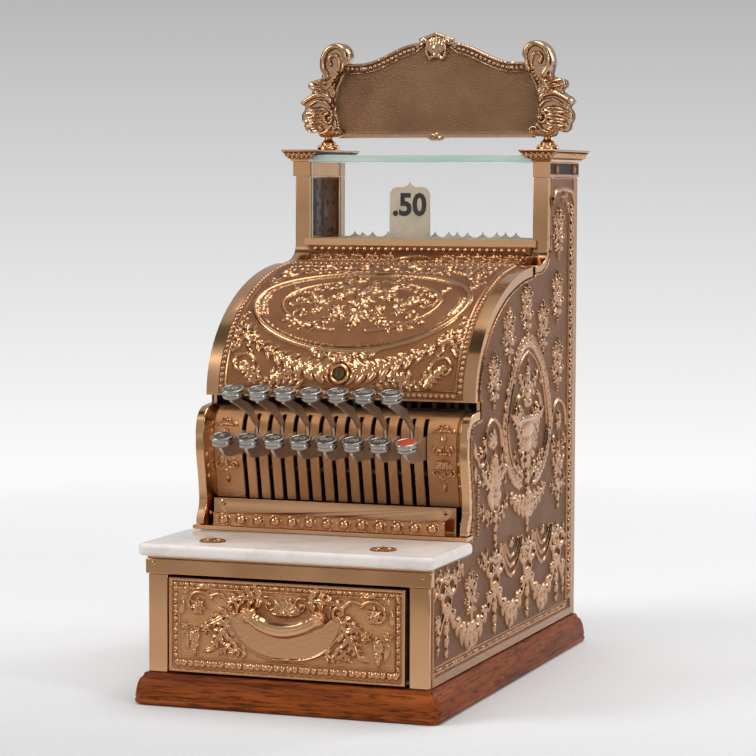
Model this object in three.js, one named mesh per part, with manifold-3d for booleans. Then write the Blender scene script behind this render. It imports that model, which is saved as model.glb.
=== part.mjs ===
// Small antique counter cash register with a drawer, a marble shelf, sprung keys and pop-up price tablets.
// Millimetres, +Z up, the front faces -Y. The origin is on the table, under the middle of the whole register.
// Before the last step y counts back from the front face of the drawer frame.

import * as THREE from "three";
import { mergeVertices } from "three/addons/utils/BufferGeometryUtils.js";
import Module from "manifold-3d";

const wasm = await Module();
wasm.setup();

// Clearances shared by all pieces
const seatGap = 0.3;
const runningGap = 0.8;
const cutOverrun = 1;

// Wooden plinth
const plinthHeight = 25;
const plinthSideOverhang = 11;
const plinthFrontOverhang = 11;
const plinthRearOverhang = 11;
const plinthCornerRadius = 10;
const plinthToeInset = 2;
const plinthToeHeight = 5;
const plinthShoulderInset = 5.5;
const plinthShoulderHeight = 20.5;
const plinthTopInset = 8.5;

// Brass cabinet shell
const cabinetWidth = 232;
const cabinetDepth = 402;
const sideThickness = 4;
const rearThickness = 3;
const rearInset = 0.6;

// Drawer frame at the front
const pilasterWidth = 16;
const pilasterDepth = 6;
const lintelBottomZ = 103;
const lintelHeight = 11.6;
const lintelSideOverhang = 2;
const lintelFrontOverhang = 1.5;
const lintelLedgeSetback = 2;

// Marble shelf
const marbleSideOverhang = 6.5;
const marbleFrontOverhang = 11;
const marbleBackY = 92;
const marbleStandoff = 3;
const marbleThickness = 9.7;
const marbleCornerRadius = 6;
const marbleEdgeRounding = 2.5;

// Drawer
const drawerSideGap = 2.5;
const drawerBoxSideInset = 1.5;
const drawerFrontThickness = 4;
const drawerFrontProud = 2;
const drawerFrontBottomGap = 1.8;
const drawerFrontTopGap = 2;
const drawerBoxLength = 300;
const drawerBoxTopClearance = 10;
const drawerWall = 7;
const drawerFloor = 5;
const coinCupLength = 92;
const coinCupCount = 4;
const dividerThickness = 5;
const railWidth = 14;
const railHeight = 3.4;
const railTieLength = 18;
const railTieHeight = 2;
const railEndClearance = 8;

// Drawer pull, a cast crescent on two posts
const pullHalfWidth = 29.5;
const pullEndZ = 77;
const pullSag = 9.5;
const pullBarHeight = 7;
const pullBarThickness = 4;
const pullReach = 14;
const pullPostWidth = 9;

// Key bank front: ledge, domed strip, slotted plate and the two S-curved frames
const ledgeFrontY = 88;
const ledgeThickness = 3;
const ledgeOverlap = 0.8;
const stripFrontY = 101.5;
const stripThickness = 4;
const stripHeight = 21.3;
const domeCount = 13;
const domeSideInset = 15.2;
const domeRadius = 4.3;
const domeRise = 2.6;
const domeCentreRise = 5.6;
const keyFrameWidth = 12;
const keyFrameFaceWidth = 6.5;
const keyFrameThickness = 7.5;
const keyFrameFrontY = 91.7;
const keyFrameReach = 33;
const keyFrameHeight = 97;
const keyFrameShares = [
  [0.03, 0],
  [0.04, 0.05],
  [0.19, 0.14],
  [0.205, 0.24],
  [0.12, 0.44],
  [0.02, 0.59],
  [0, 0.72],
  [0.025, 0.83],
  [0.17, 0.935],
  [0.45, 0.985],
  [1, 1],
];
const plateShares = [
  [0.66, 0],
  [0.63, 0.05],
  [0.58, 0.14],
  [0.53, 0.24],
  [0.405, 0.44],
  [0.31, 0.59],
  [0.283, 0.7],
  [0.3, 0.8],
  [0.385, 0.89],
  [0.6, 0.955],
  [1, 0.985],
];
const plateThickness = 2.4;
const slotWidth = 3.6;
const slotTopBar = 5;

// Keys
const keyCount = 15;
const keyBankSideMargin = 26.6;
const keyTravelDegrees = 13.1;
const leverThickness = 2.4;
const capSideGap = 2.7;
const capHeight = 7.2;
const capTiltDegrees = 15;
const capNeck = 4.5;
const lowerCapY = 57;
const lowerCapDrop = 23.9;
const upperCapY = 52.4;
const upperCapRise = 14.5;
const pivotY = 160;
const pivotDrop = 55.9;
const hubRadius = 9;
const shaftRadius = 4;
const shaftGap = 0.3;
const slotCrossY = 103;
const lowerLeverTopDrop = 19.9;
const lowerLeverBottomDrop = 38.4;
const lowerDipY = 69;
const upperLeverTopDrop = 11.4;
const upperLeverBottomDrop = 24.9;
const upperElbowY = 86;
const upperElbowRise = 9.5;
const upperElbowTopRise = 14.25;
const leverDepth = 11;
const tailPadMargin = 6;
const tailPadDrop = 22;
const tailHeight = 7;

// Lid, a quarter of an ellipse in side view
const lidSideInset = 0.5;
const lidFrontY = 113;
const lidCentreInset = 10;
const lidFrontGap = 7.1;
const lidRise = 104;
const lidTopDegrees = 84;
const lidThickness = 2.4;
const lidFlangeDepth = 8;
const lidFlangeThickness = 2.4;
const lidSegments = 18;
const hingeBarrelRadius = 3.2;
const hingePinRadius = 1.5;
const hingePinGap = 0.4;
const hingeSideInset = 4.2;
const hingeKnuckles = 5;
const lockDegrees = 10.8;
const lockRingRadius = 7.5;
const lockRingRise = 2.6;
const lockBarrelRadius = 5;
const lockBarrelRise = 3.6;
const lockBarrelLength = 14;
const lockSlotWidth = 1;
const lockSlotLength = 6;
const lockSlotDepth = 1.2;

// Cast ornament that stands on the side panels
const reliefRise = 1.6;
const reliefRoot = 0.6;
const sprigWidth = 34;
const sprigHeight = 48;
const motifWidth = 66;
const motifHeight = 88;
const dropWidth = 42;
const dropHeight = 88;
const wreathHalfWidth = 66;
const wreathHalfHeight = 60.5;
const wreathBand = 11;
const urnWidth = 92;
const urnHeight = 84;
const bowWidth = 40;
const bowHeight = 66;
const swagBand = 13;
const swagTip = 4;
const swagSag = 25;
const drapeWidth = 54;
const drapeSag = 21;
const drapeBand = 9;
const wreathSwagWidth = 100;
const wreathSwagSag = 13;
const columnSetback = 20.5;
const columnWidth = 6.4;
const columnTopMargin = 23;
const leafBandHeight = 5.4;
const leafBandLift = 8.4;
const leafBandFrontMargin = 6;
const archBand = 3.8;

// Cast ornament that stands on the lid
const lidOvalHalfWidth = 92;
const lidOvalHalfHeight = 57;
const lidOvalBand = 4.6;
const lidOvalInnerHalfWidth = 68;
const lidOvalInnerHalfHeight = 37;
const lidOvalInnerBand = 3.4;
const lidBorderInset = 13.1;
const lidBorderMargin = 4.6;
const lidBorderBand = 3.2;
const garlandHalfWidth = 88;
const garlandEndArc = 54;
const garlandSag = 33;
const garlandBand = 12;
const garlandTip = 5;
const blossomRadius = 9;
const sprayBand = 12;
const sprayTip = 3;

// Moulding between the lid hinge and the window, with the sill
const apronLength = 35.8;
const apronFlatLength = 8;
const apronThickness = 3;
const apronHeight = 14.8;
const sillHeight = 5.9;
const sillProud = 3.9;
const sillSideOverlap = 3.8;
const sillLip = 3.5;
const sillDepth = 13;

// Window case
const windowCaseDepth = 88.2;
const postWidth = 13.8;
const postDepth = 8;
const postHeight = 54.3;
const footThickness = 6;
const notchY = 127;
const notchDrop = 6.9;
const glassThickness = 3;
const frontGlassInset = 2.7;
const rearGlassInset = 11.5;
const topGlassLift = 12.8;
const topGlassThickness = 6;
const topGlassFrontOverhang = 5.8;
const topGlassBackOverhang = 4;
const rearPostDepth = 14;
const rearSillHeight = 8;

// Cornice blocks on the window posts
const corniceInnerGap = 0.4;
const corniceBlockOverhang = 1.8;
const corniceTopOverhang = 9;
const corniceFrontReach = 12.2;
const corniceBackReach = 10.6;
const corniceBlockHeight = 13;
const corniceNeckHeight = 2.2;
const corniceHeight = 23.4;
const corniceSlabThickness = 3.8;
const corniceTongue = 10.5;

// Marquee sign with two scroll finials
const signInset = 44.8;
const signThickness = 5;
const signSideInset = 18.5;
const signLift = 10.8;
const signPanelHeight = 66;
const signArchHeight = 17.6;
const signCrestHeight = 9.4;
const signCrestHalfWidth = 15;
const signDropHalfWidth = 8;
const signDropHeight = 2.4;
const finialThickness = 9;
const finialReach = 9.8;
const finialInnerInset = 37;
const finialFootInset = 14;
const finialFootRadius = 8;
const finialFootHeight = 4;
const finialStemRadius = 4;
const finialHeight = 84.6;

// Price tablets and the rack that guides them
const tabletSideGap = 6.36;
const tabletHeight = 50;
const tabletPoint = 5;
const tabletShoulder = 5;
const tabletCornerRadius = 7.5;
const tabletThickness = 1.2;
const tabletTravel = 44;
const tabletTipRise = 6.3;
const tabletStemWidth = 4;
const tabletRows = 4;
const tabletRowPitch = 5;
const tabletFirstRowInset = 32.2;
const tabletRowOrder = [2, 3, 1, 0];
const raisedKey = 6;
const rackPlateThickness = 2.5;
const rackLowerDrop = 22.9;
const rackMargin = 7;
const rackStrapWidth = 4;
const rackHoleSideGap = 0.5;

// Shares and counts that belong to shapes rather than to sizes
const roundSides = 16;
const domeSides = 8;
const domeRings = 6;
const profileSteps = 18;
const bowSteps = 12;
const archSteps = 10;
const cavettoSteps = 6;
const cornerSteps = 4;
const roundBossSides = 8;
const ovalSteps = 28;
const swagSteps = 8;
const halfShare = 0.5;
const quarterShare = 0.25;
const diagonalShare = 0.7;
const corniceNeckShare = 0.12;
const corniceCurveHeightShare = 0.7;
const corniceCurveReachShare = 0.45;
const signSideShares = [
  [0.93, 0],
  [0.985, 0.3],
  [1, 0.48],
  [0.96, 0.7],
  [0.91, 0.86],
  [0.9, 1],
];
const signShoulderShare = 0.74;
const signCrestShares = [
  [1, 0],
  [1.08, 0.38],
  [0.7, 0.6],
  [0.35, 0.78],
  [0, 1],
];
const finialShares = [
  [0.11, 0.8],
  [0.03, 0.84],
  [0, 0.89],
  [0.04, 0.95],
  [0.14, 0.99],
  [0.28, 1],
  [0.44, 0.97],
  [0.53, 0.9],
  [0.54, 0.8],
  [0.52, 0.71],
  [0.56, 0.62],
  [0.73, 0.6],
  [0.85, 0.565],
  [0.9, 0.5],
  [0.98, 0.41],
  [1, 0.31],
  [0.99, 0.2],
  [0.89, 0.11],
  [0.71, 0.05],
  [0.45, 0.01],
];

const reliefEdgeShare = 0.45;
const starWaistShare = 0.4;
const sprigShares = [
  [0.853, 0.876],
  [0.846, 0.735],
  [0.851, 0.583],
  [0.739, 0.671],
  [0.617, 0.714],
  [0.493, 0.666],
  [0.393, 0.578],
  [0.249, 0.151],
];
const motifShare = [0.395, 0.372];
const dropShare = [0.861, 0.378];
const wreathShare = [0.629, 0.492];
const wreathHalfShares = [
  [0, 1],
  [0.33, 0.88],
  [0.65, 0.62],
  [0.88, 0.256],
  [1, -0.174],
  [0.88, -0.554],
  [0.61, -0.835],
  [0, -1.02],
];
const wreathSwagShare = [0.629, 0.326];
const bowShares = [0.0945, 0.403, 0.632, 0.853];
const bowHeightShare = 0.15;
const swagShares = [
  [0.124, 0.373],
  [0.43, 0.607],
  [0.659, 0.828],
];
const swagHeightShare = 0.141;
const drapeShares = [0.517, 0.744];
const drapeHeightShare = 0.222;
const archShares = [
  [0.809, 0.923],
  [0.813, 0.949],
  [0.832, 0.966],
  [0.865, 0.972],
  [0.925, 0.972],
  [0.96, 0.964],
  [0.978, 0.941],
];
const lidOvalShare = 0.4745;
const blossomShares = [
  [0, 0.4745],
  [0.18, 0.5186],
  [0.16, 0.4207],
  [0.37, 0.494],
  [0.48, 0.479],
  [0.31, 0.411],
  [0.74, 0.132],
  [0.72, 0.7436],
  [0.45, 0.851],
  [0.19, 0.861],
  [0, 0.851],
  [0.13, 0.675],
];
const sprayShares = [
  [
    [0, 0.31],
    [0, 0.39],
    [0, 0.47],
    [0, 0.55],
    [0, 0.63],
    [0, 0.69],
  ],
  [
    [0.08, 0.48],
    [0.25, 0.485],
    [0.4, 0.48],
    [0.54, 0.46],
  ],
  [
    [0.08, 0.54],
    [0.18, 0.6],
    [0.3, 0.6],
    [0.42, 0.55],
  ],
  [
    [0.1, 0.4],
    [0.2, 0.34],
    [0.34, 0.32],
    [0.48, 0.36],
  ],
  [
    [0.3, 0.075],
    [0.46, 0.085],
    [0.64, 0.085],
    [0.78, 0.2],
  ],
  [
    [0.84, 0.64],
    [0.74, 0.72],
    [0.6, 0.83],
    [0.5, 0.88],
  ],
];

// Places worked out from the sizes above
const halfCabinet = cabinetWidth * halfShare;
const frontReachY = -Math.max(plinthFrontOverhang, pullReach);
const rearReachY = cabinetDepth + plinthRearOverhang;
const innerX = halfCabinet - sideThickness;
const postInnerX = halfCabinet - postWidth;
const corniceInnerX = postInnerX + corniceInnerGap;
const sillHalfWidth = postInnerX + sillSideOverlap;
const hingeSpan = 2 * (postInnerX - hingeSideInset);
const lidHalfWidth = halfCabinet - lidSideInset;
const signHalfWidth = halfCabinet - signSideInset;
const finialOuterX = halfCabinet + finialReach;
const finialInnerX = halfCabinet - finialInnerInset;
const finialFootX = halfCabinet - finialFootInset;
const floorZ = plinthHeight + seatGap;
const marbleBottomZ = lintelBottomZ + lintelHeight + marbleStandoff;
const marbleTopZ = marbleBottomZ + marbleThickness;
const ledgeBottomZ = marbleTopZ + seatGap;
const ledgeTopZ = ledgeBottomZ + ledgeThickness;
const stripTopZ = ledgeTopZ + stripHeight;
const keyFrameFootZ = ledgeTopZ + seatGap;
const keyFrameTopZ = keyFrameFootZ + keyFrameHeight;
const keyFrameInnerX = halfCabinet - keyFrameWidth;
const lowerCapZ = keyFrameTopZ - lowerCapDrop;
const upperCapZ = keyFrameTopZ + upperCapRise;
const pivotZ = keyFrameTopZ - pivotDrop;
const lowerLeverTopZ = keyFrameTopZ - lowerLeverTopDrop;
const lowerLeverBottomZ = keyFrameTopZ - lowerLeverBottomDrop;
const upperLeverTopZ = keyFrameTopZ - upperLeverTopDrop;
const upperLeverBottomZ = keyFrameTopZ - upperLeverBottomDrop;
const lidBottomZ = keyFrameTopZ + lidFrontGap;
const notchZ = keyFrameTopZ - notchDrop;
const rackLowerZ = keyFrameTopZ - rackLowerDrop;
const domePitch = (2 * (keyFrameInnerX - domeSideInset)) / (domeCount - 1);
const keyPitch = (2 * (keyFrameInnerX - keyBankSideMargin)) / (keyCount - 1);
const capRadius = keyPitch - capSideGap;
const tabletWidth = tabletRows * keyPitch - tabletSideGap;
const frameBackOffset = keyFrameThickness + seatGap;
const postFrontY = cabinetDepth - windowCaseDepth;
const postBackY = postFrontY + postDepth;
const frontGlassY = postFrontY + frontGlassInset;
const rearGlassY = cabinetDepth - rearGlassInset;
const sillFrontY = postFrontY - sillProud;
const apronStartY = postFrontY - apronLength;
const apronTopZ = lidBottomZ + lidRise;
const sillBottomZ = apronTopZ + apronHeight;
const sillTopZ = sillBottomZ + sillHeight;
const postTopZ = sillTopZ + postHeight;
const topGlassBottomZ = postTopZ + topGlassLift;
const corniceTopZ = postTopZ + corniceHeight;
const signBottomZ = corniceTopZ + signLift;
const signShoulderZ = signBottomZ + signPanelHeight;
const signNeckZ = signShoulderZ + signArchHeight;
const tabletLowTipZ = sillTopZ + tabletTipRise;
const lidBackY = apronStartY + lidCentreInset;
const lidReach = lidBackY - lidFrontY;
const hingeY = apronStartY - hingeBarrelRadius - seatGap;
const hingeZ = apronTopZ - lidThickness * halfShare;
const signY = postFrontY + signInset;
const tabletFirstRowY = postFrontY + tabletFirstRowInset;
const tabletLastRowBackY = tabletFirstRowY + (tabletRows - 1) * tabletRowPitch + tabletThickness;
const tailPadY = tabletFirstRowY - tailPadMargin;
const tailEndY = tabletLastRowBackY + tailPadMargin;
const drawerHalf = halfCabinet - pilasterWidth - drawerSideGap;
const drawerFrontBackY = drawerFrontThickness - drawerFrontProud;
const drawerBoxFrontY = drawerFrontBackY + seatGap;
const drawerBoxZ = floorZ + railHeight + seatGap;
const drawerBoxHeight = lintelBottomZ - drawerBoxTopClearance - drawerBoxZ;
const tailTopZ = pivotZ - tailPadDrop;
const leafHalf = lidThickness * halfShare;
const middleKey = (keyCount + 1) * halfShare;
const keyPlaces = Array.from({ length: keyCount }, (_, i) => {
  const number = i + 1;
  return {
    number,
    x: (number - middleKey) * keyPitch,
    upper: number % 2 === 0,
    rowY: tabletFirstRowY + tabletRowOrder[number % tabletRows] * tabletRowPitch,
  };
});

// Materials
function metal(name, color, roughness) {
  return new THREE.MeshStandardMaterial({ name, color, roughness, metalness: 1 });
}
const polishedBrass = metal("polished_brass", "#b9814f", 0.22);
const castBrass = metal("cast_brass", "#9c6a45", 0.38);
const nickel = metal("nickel", "#9a9896", 0.3);
const steel = metal("steel", "#77706b", 0.42);
const mahogany = new THREE.MeshStandardMaterial({ name: "mahogany", color: "#4a2012", roughness: 0.4 });
const drawerWood = new THREE.MeshStandardMaterial({ name: "drawer_wood", color: "#7a4a26", roughness: 0.6 });
const marble = new THREE.MeshStandardMaterial({ name: "marble", color: "#e3dfdc", roughness: 0.25 });
const enamel = new THREE.MeshStandardMaterial({ name: "enamel", color: "#cfcbbd", roughness: 0.5 });
const glass = new THREE.MeshStandardMaterial({
  name: "glass",
  color: "#dfe9e6",
  roughness: 0.05,
  transparent: true,
  opacity: 0.3,
});

// Geometry helpers
function bare(geometry) {
  const plain = geometry.index ? geometry.toNonIndexed() : geometry.clone();
  plain.deleteAttribute("normal");
  plain.deleteAttribute("uv");
  return mergeVertices(plain);
}

function toSolid(geometry) {
  const merged = bare(geometry);
  return new wasm.Manifold(
    new wasm.Mesh({
      numProp: 3,
      vertProperties: new Float32Array(merged.attributes.position.array),
      triVerts: new Uint32Array(merged.index.array),
    })
  );
}

function toGeometry(solid) {
  const mesh = solid.getMesh();
  const geometry = new THREE.BufferGeometry();
  geometry.setAttribute("position", new THREE.BufferAttribute(new Float32Array(mesh.vertProperties), 3));
  geometry.setIndex(new THREE.BufferAttribute(new Uint32Array(mesh.triVerts), 1));
  geometry.computeVertexNormals();
  return geometry;
}

function join(first, ...others) {
  return toGeometry(others.reduce((solid, other) => solid.add(toSolid(other)), toSolid(first)));
}

function cut(first, ...tools) {
  return toGeometry(tools.reduce((solid, tool) => solid.subtract(toSolid(tool)), toSolid(first)));
}

function block(x0, x1, y0, y1, z0, z1) {
  const geometry = new THREE.BoxGeometry(x1 - x0, y1 - y0, z1 - z0);
  return geometry.translate((x0 + x1) * halfShare, (y0 + y1) * halfShare, (z0 + z1) * halfShare);
}

function shapeOf(points) {
  return new THREE.Shape(points.map(([a, b]) => new THREE.Vector2(a, b)));
}

function extruded(points, length) {
  return new THREE.ExtrudeGeometry(shapeOf(points), { depth: length, bevelEnabled: false, steps: 1 });
}

// Side view outline in (y, z), run across from x0 to x1
function sideExtrusion(points, x0, x1) {
  const turn = new THREE.Matrix4().makeBasis(
    new THREE.Vector3(0, 1, 0),
    new THREE.Vector3(0, 0, 1),
    new THREE.Vector3(1, 0, 0)
  );
  return extruded(points, x1 - x0).applyMatrix4(turn).translate(x0, 0, 0);
}

// Front view outline in (x, z), run back from y0 to y1
function frontExtrusion(points, y0, y1) {
  const turn = new THREE.Matrix4().makeBasis(
    new THREE.Vector3(1, 0, 0),
    new THREE.Vector3(0, 0, 1),
    new THREE.Vector3(0, -1, 0)
  );
  return extruded(points, y1 - y0).applyMatrix4(turn).translate(0, y1, 0);
}

function cylinder(radius, length, sides = roundSides) {
  return new THREE.CylinderGeometry(radius, radius, length, sides);
}

function crossBar(radius, x0, x1, y, z, sides = roundSides) {
  const bar = cylinder(radius, x1 - x0, sides).rotateZ(Math.PI * halfShare);
  return bar.translate((x0 + x1) * halfShare, y, z);
}

// Closed skin through rings of [x, y, z] points that all have the same count
function loft(rings) {
  const count = rings[0].length;
  const positions = rings.flat(2);
  const indices = [];
  for (let r = 0; r + 1 < rings.length; r += 1) {
    for (let i = 0; i < count; i += 1) {
      const a = r * count + i;
      const b = r * count + ((i + 1) % count);
      indices.push(a, b, b + count, a, b + count, a + count);
    }
  }
  const top = (rings.length - 1) * count;
  for (let i = 1; i + 1 < count; i += 1) {
    indices.push(0, i + 1, i, top, top + i, top + i + 1);
  }
  return indexed(positions, indices);
}

// Rounded rectangle at one height, drawn in by inset
function roundedRing(x0, x1, y0, y1, z, radius, inset) {
  const r = Math.max(radius - inset, radius * halfShare);
  const corners = [
    [x1 - inset - r, y0 + inset + r, -1],
    [x1 - inset - r, y1 - inset - r, 0],
    [x0 + inset + r, y1 - inset - r, 1],
    [x0 + inset + r, y0 + inset + r, 2],
  ];
  return corners.flatMap(([cx, cy, quarter]) =>
    Array.from({ length: cornerSteps + 1 }, (_, i) => {
      const angle = (quarter + i / cornerSteps) * Math.PI * halfShare;
      return [cx + r * Math.cos(angle), cy + r * Math.sin(angle), z];
    })
  );
}

// Raised ornament, set on a surface by a place function of (across, up, rise)
function bossOn(place, [u, v], outline, rise) {
  const low = outline.map(([a, b]) => place(u + a, v + b, -reliefRoot));
  const edge = outline.map(([a, b]) => place(u + a, v + b, rise * reliefEdgeShare));
  const positions = [place(u, v, -reliefRoot), ...low, ...edge, place(u, v, rise)].flat();
  const n = outline.length;
  const indices = outline.flatMap((_, i) => {
    const a = 1 + i;
    const b = 1 + ((i + 1) % n);
    return [0, b, a, a, b, b + n, a, b + n, a + n, 2 * n + 1, a + n, b + n];
  });
  return indexed(positions, indices);
}

function ribbonOn(place, line, tip, band, rise, closed = false) {
  const count = line.length;
  const rings = line.map(([u, v], i) => {
    const before = closed ? line[(i + count - 1) % count] : line[Math.max(i - 1, 0)];
    const after = closed ? line[(i + 1) % count] : line[Math.min(i + 1, count - 1)];
    const length = Math.hypot(after[0] - before[0], after[1] - before[1]);
    const swell = closed ? 1 : Math.sin((Math.PI * i) / (count - 1));
    const half = (tip + (band - tip) * swell) * halfShare;
    const nu = (-half * (after[1] - before[1])) / length;
    const nv = (half * (after[0] - before[0])) / length;
    return [
      place(u - nu, v - nv, -reliefRoot),
      place(u + nu, v + nv, -reliefRoot),
      place(u + nu, v + nv, rise * reliefEdgeShare),
      place(u, v, rise),
      place(u - nu, v - nv, rise * reliefEdgeShare),
    ];
  });
  if (!closed) return loft(rings);
  const size = rings[0].length;
  const indices = rings.flatMap((ring, r) =>
    ring.flatMap((_, i) => {
      const a = r * size + i;
      const b = r * size + ((i + 1) % size);
      const up = (((r + 1) % count) - r) * size;
      return [a, b, b + up, a, b + up, a + up];
    })
  );
  return indexed(rings.flat(2), indices);
}

function indexed(positions, indices) {
  const geometry = new THREE.BufferGeometry();
  geometry.setAttribute("position", new THREE.BufferAttribute(new Float32Array(positions), 3));
  geometry.setIndex(indices);
  return geometry;
}

// Four leaves in a cross, anticlockwise
function star(width, height) {
  const x = width * halfShare;
  const z = height * halfShare;
  const waist = Math.min(x, z) * starWaistShare;
  return [[x, 0], [waist, waist], [0, z], [-waist, waist], [-x, 0], [-waist, -waist], [0, -z], [waist, -waist]];
}

function round(radius) {
  return Array.from({ length: roundBossSides }, (_, i) => {
    const angle = (2 * Math.PI * i) / roundBossSides;
    return [radius * Math.cos(angle), radius * Math.sin(angle)];
  });
}

function ovalLine(v, halfWidth, halfHeight) {
  return Array.from({ length: ovalSteps }, (_, i) => {
    const angle = (2 * Math.PI * i) / ovalSteps;
    return [halfWidth * Math.cos(angle), v + halfHeight * Math.sin(angle)];
  });
}

function hangingLine(u0, u1, v, sag) {
  return Array.from({ length: swagSteps + 1 }, (_, i) => {
    const t = i / swagSteps;
    return [u0 + (u1 - u0) * t, v - 4 * sag * t * (1 - t)];
  });
}

// Points of an open line moved sideways, to the left of its direction for a positive distance
function offsetLine(points, distance) {
  return points.map((point, i) => {
    const before = points[Math.max(i - 1, 0)];
    const after = points[Math.min(i + 1, points.length - 1)];
    const length = Math.hypot(after[0] - before[0], after[1] - before[1]);
    const nx = -(after[1] - before[1]) / length;
    const ny = (after[0] - before[0]) / length;
    return [point[0] + nx * distance, point[1] + ny * distance];
  });
}

function mesh(name, geometry, material) {
  const piece = new THREE.Mesh(geometry, material);
  piece.name = name;
  return piece;
}

function mirrored(geometry) {
  const copy = bare(geometry).scale(-1, 1, 1);
  const order = copy.index.array;
  for (let i = 0; i < order.length; i += 3) {
    [order[i + 1], order[i + 2]] = [order[i + 2], order[i + 1]];
  }
  return copy;
}

function pair(name, rightGeometry, material) {
  const left = mesh(`${name}_left`, mirrored(rightGeometry), material);
  return [left, mesh(`${name}_right`, rightGeometry, material)];
}

// Shared curves
function lidCurve(inset, fromDegrees, toDegrees, steps = lidSegments) {
  return Array.from({ length: steps + 1 }, (_, i) => {
    const angle = THREE.MathUtils.degToRad(fromDegrees + ((toDegrees - fromDegrees) * i) / steps);
    return [
      lidBackY - (lidReach - inset) * Math.cos(angle),
      lidBottomZ + (lidRise - inset) * Math.sin(angle),
    ];
  });
}

function keyBankCurve(shares, inset) {
  const nodes = shares.map(
    ([y, z]) => new THREE.Vector2(keyFrameFrontY + y * keyFrameReach, keyFrameFootZ + z * keyFrameHeight)
  );
  const line = new THREE.SplineCurve(nodes).getPoints(profileSteps).map((p) => [p.x, p.y]);
  return offsetLine(line, -inset);
}

function cavettoCurve(inset) {
  const start = [apronStartY + apronFlatLength, apronTopZ];
  const end = [postFrontY, sillBottomZ];
  const curve = Array.from({ length: cavettoSteps + 1 }, (_, i) => {
    const angle = (i / cavettoSteps) * Math.PI * halfShare;
    return [
      start[0] + (end[0] - start[0]) * Math.sin(angle),
      end[1] - (end[1] - start[1]) * Math.cos(angle),
    ];
  });
  return offsetLine([[apronStartY, apronTopZ], ...curve], -inset);
}

function plinth() {
  const x = halfCabinet + plinthSideOverhang;
  const y = -plinthFrontOverhang;
  const ring = (z, inset) => roundedRing(-x, x, y, rearReachY, z, plinthCornerRadius, inset);
  return loft([
    ring(0, plinthToeInset),
    ring(plinthToeHeight, 0),
    ring(plinthShoulderHeight, plinthShoulderInset),
    ring(plinthHeight, plinthTopInset),
  ]);
}

// The part of a rising line above a height, starting exactly at that height
function above(line, z) {
  const first = line.findIndex((p) => p[1] > z);
  const [a, b] = [line[first - 1], line[first]];
  const share = (z - a[1]) / (b[1] - a[1]);
  return [[a[0] + (b[0] - a[0]) * share, z], ...line.slice(first)];
}

function sidePanel() {
  const frontY = pilasterDepth + seatGap;
  const stepTopZ = marbleBottomZ - seatGap;
  const stripBackY = stripFrontY + stripThickness + seatGap;
  const frameBack = keyBankCurve(keyFrameShares, frameBackOffset);
  const neck = cavettoCurve(footThickness + seatGap);
  const outline = [
    [frontY, floorZ],
    [cabinetDepth, floorZ],
    [cabinetDepth, postTopZ],
    [postBackY + seatGap, postTopZ],
    [postBackY + seatGap, sillBottomZ],
    ...neck.reverse(),
    ...lidCurve(lidFlangeDepth + runningGap, 0, lidTopDegrees).reverse(),
    [notchY, lidBottomZ],
    [notchY, notchZ],
    ...frameBack.reverse(),
    [stripBackY, keyFrameFootZ],
    [stripBackY, ledgeBottomZ - seatGap],
    [marbleBackY + seatGap, ledgeBottomZ - seatGap],
    [marbleBackY + seatGap, stepTopZ],
    [frontY, stepTopZ],
  ];
  return join(sideExtrusion(outline, innerX, halfCabinet), ...sideOrnament());
}

// Right-hand panel's ornament, joined to its outer face
function sideOrnament() {
  const height = postTopZ - floorZ;
  const at = ([y, z]) => [y * cabinetDepth, floorZ + z * height];
  const place = (y, z, rise) => [halfCabinet + rise, y, z];
  const boss = (share, outline) => bossOn(place, at(share), outline, reliefRise);
  const [wreathY, wreathZ] = at(wreathShare);
  const wreathRight = wreathHalfShares.map(([y, z]) => [y * wreathHalfWidth, z * wreathHalfHeight]);
  const wreathLeft = wreathRight.slice(1, -1).reverse().map(([y, z]) => [-y, z]);
  const wreath = [...wreathRight, ...wreathLeft].map(([y, z]) => [wreathY + y, wreathZ + z]).reverse();
  const swag = (y0, y1, z, sag, tip, band) => ribbonOn(place, hangingLine(y0, y1, z, sag), tip, band, reliefRise);
  const [swagY, swagZ] = at(wreathSwagShare);
  const bandZ = at([0, swagHeightShare])[1];
  const drapeZ = at([0, drapeHeightShare])[1];
  const columnY = cabinetDepth - columnSetback;
  const columnBottomZ = floorZ + leafBandLift + leafBandHeight;
  const bar = (y0, y1, z0, z1) => block(halfCabinet - reliefRoot, halfCabinet + reliefRise, y0, y1, z0, z1);
  return [
    ...sprigShares.map((share) => boss(share, star(sprigWidth, sprigHeight))),
    boss(motifShare, star(motifWidth, motifHeight)),
    boss(dropShare, star(dropWidth, dropHeight)),
    boss(wreathShare, star(urnWidth, urnHeight)),
    ...bowShares.map((y) => boss([y, bowHeightShare], star(bowWidth, bowHeight))),
    ribbonOn(place, wreath, wreathBand, wreathBand, reliefRise, true),
    swag(
      swagY - wreathSwagWidth * halfShare,
      swagY + wreathSwagWidth * halfShare,
      swagZ,
      wreathSwagSag,
      swagTip,
      swagBand
    ),
    ...swagShares.map(([y0, y1]) =>
      swag(y0 * cabinetDepth, y1 * cabinetDepth, bandZ, swagSag, swagTip, swagBand)
    ),
    ...drapeShares.map((y) => {
      const middle = y * cabinetDepth;
      const half = drapeWidth * halfShare;
      return swag(middle - half, middle + half, drapeZ, drapeSag, swagTip, drapeBand);
    }),
    ribbonOn(place, archShares.map(at), archBand, archBand, reliefRise),
    bar(
      columnY - columnWidth * halfShare,
      columnY + columnWidth * halfShare,
      columnBottomZ,
      postTopZ - columnTopMargin
    ),
    bar(
      leafBandFrontMargin,
      columnY - columnWidth,
      floorZ + leafBandLift,
      floorZ + leafBandLift + leafBandHeight
    ),
  ];
}

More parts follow.
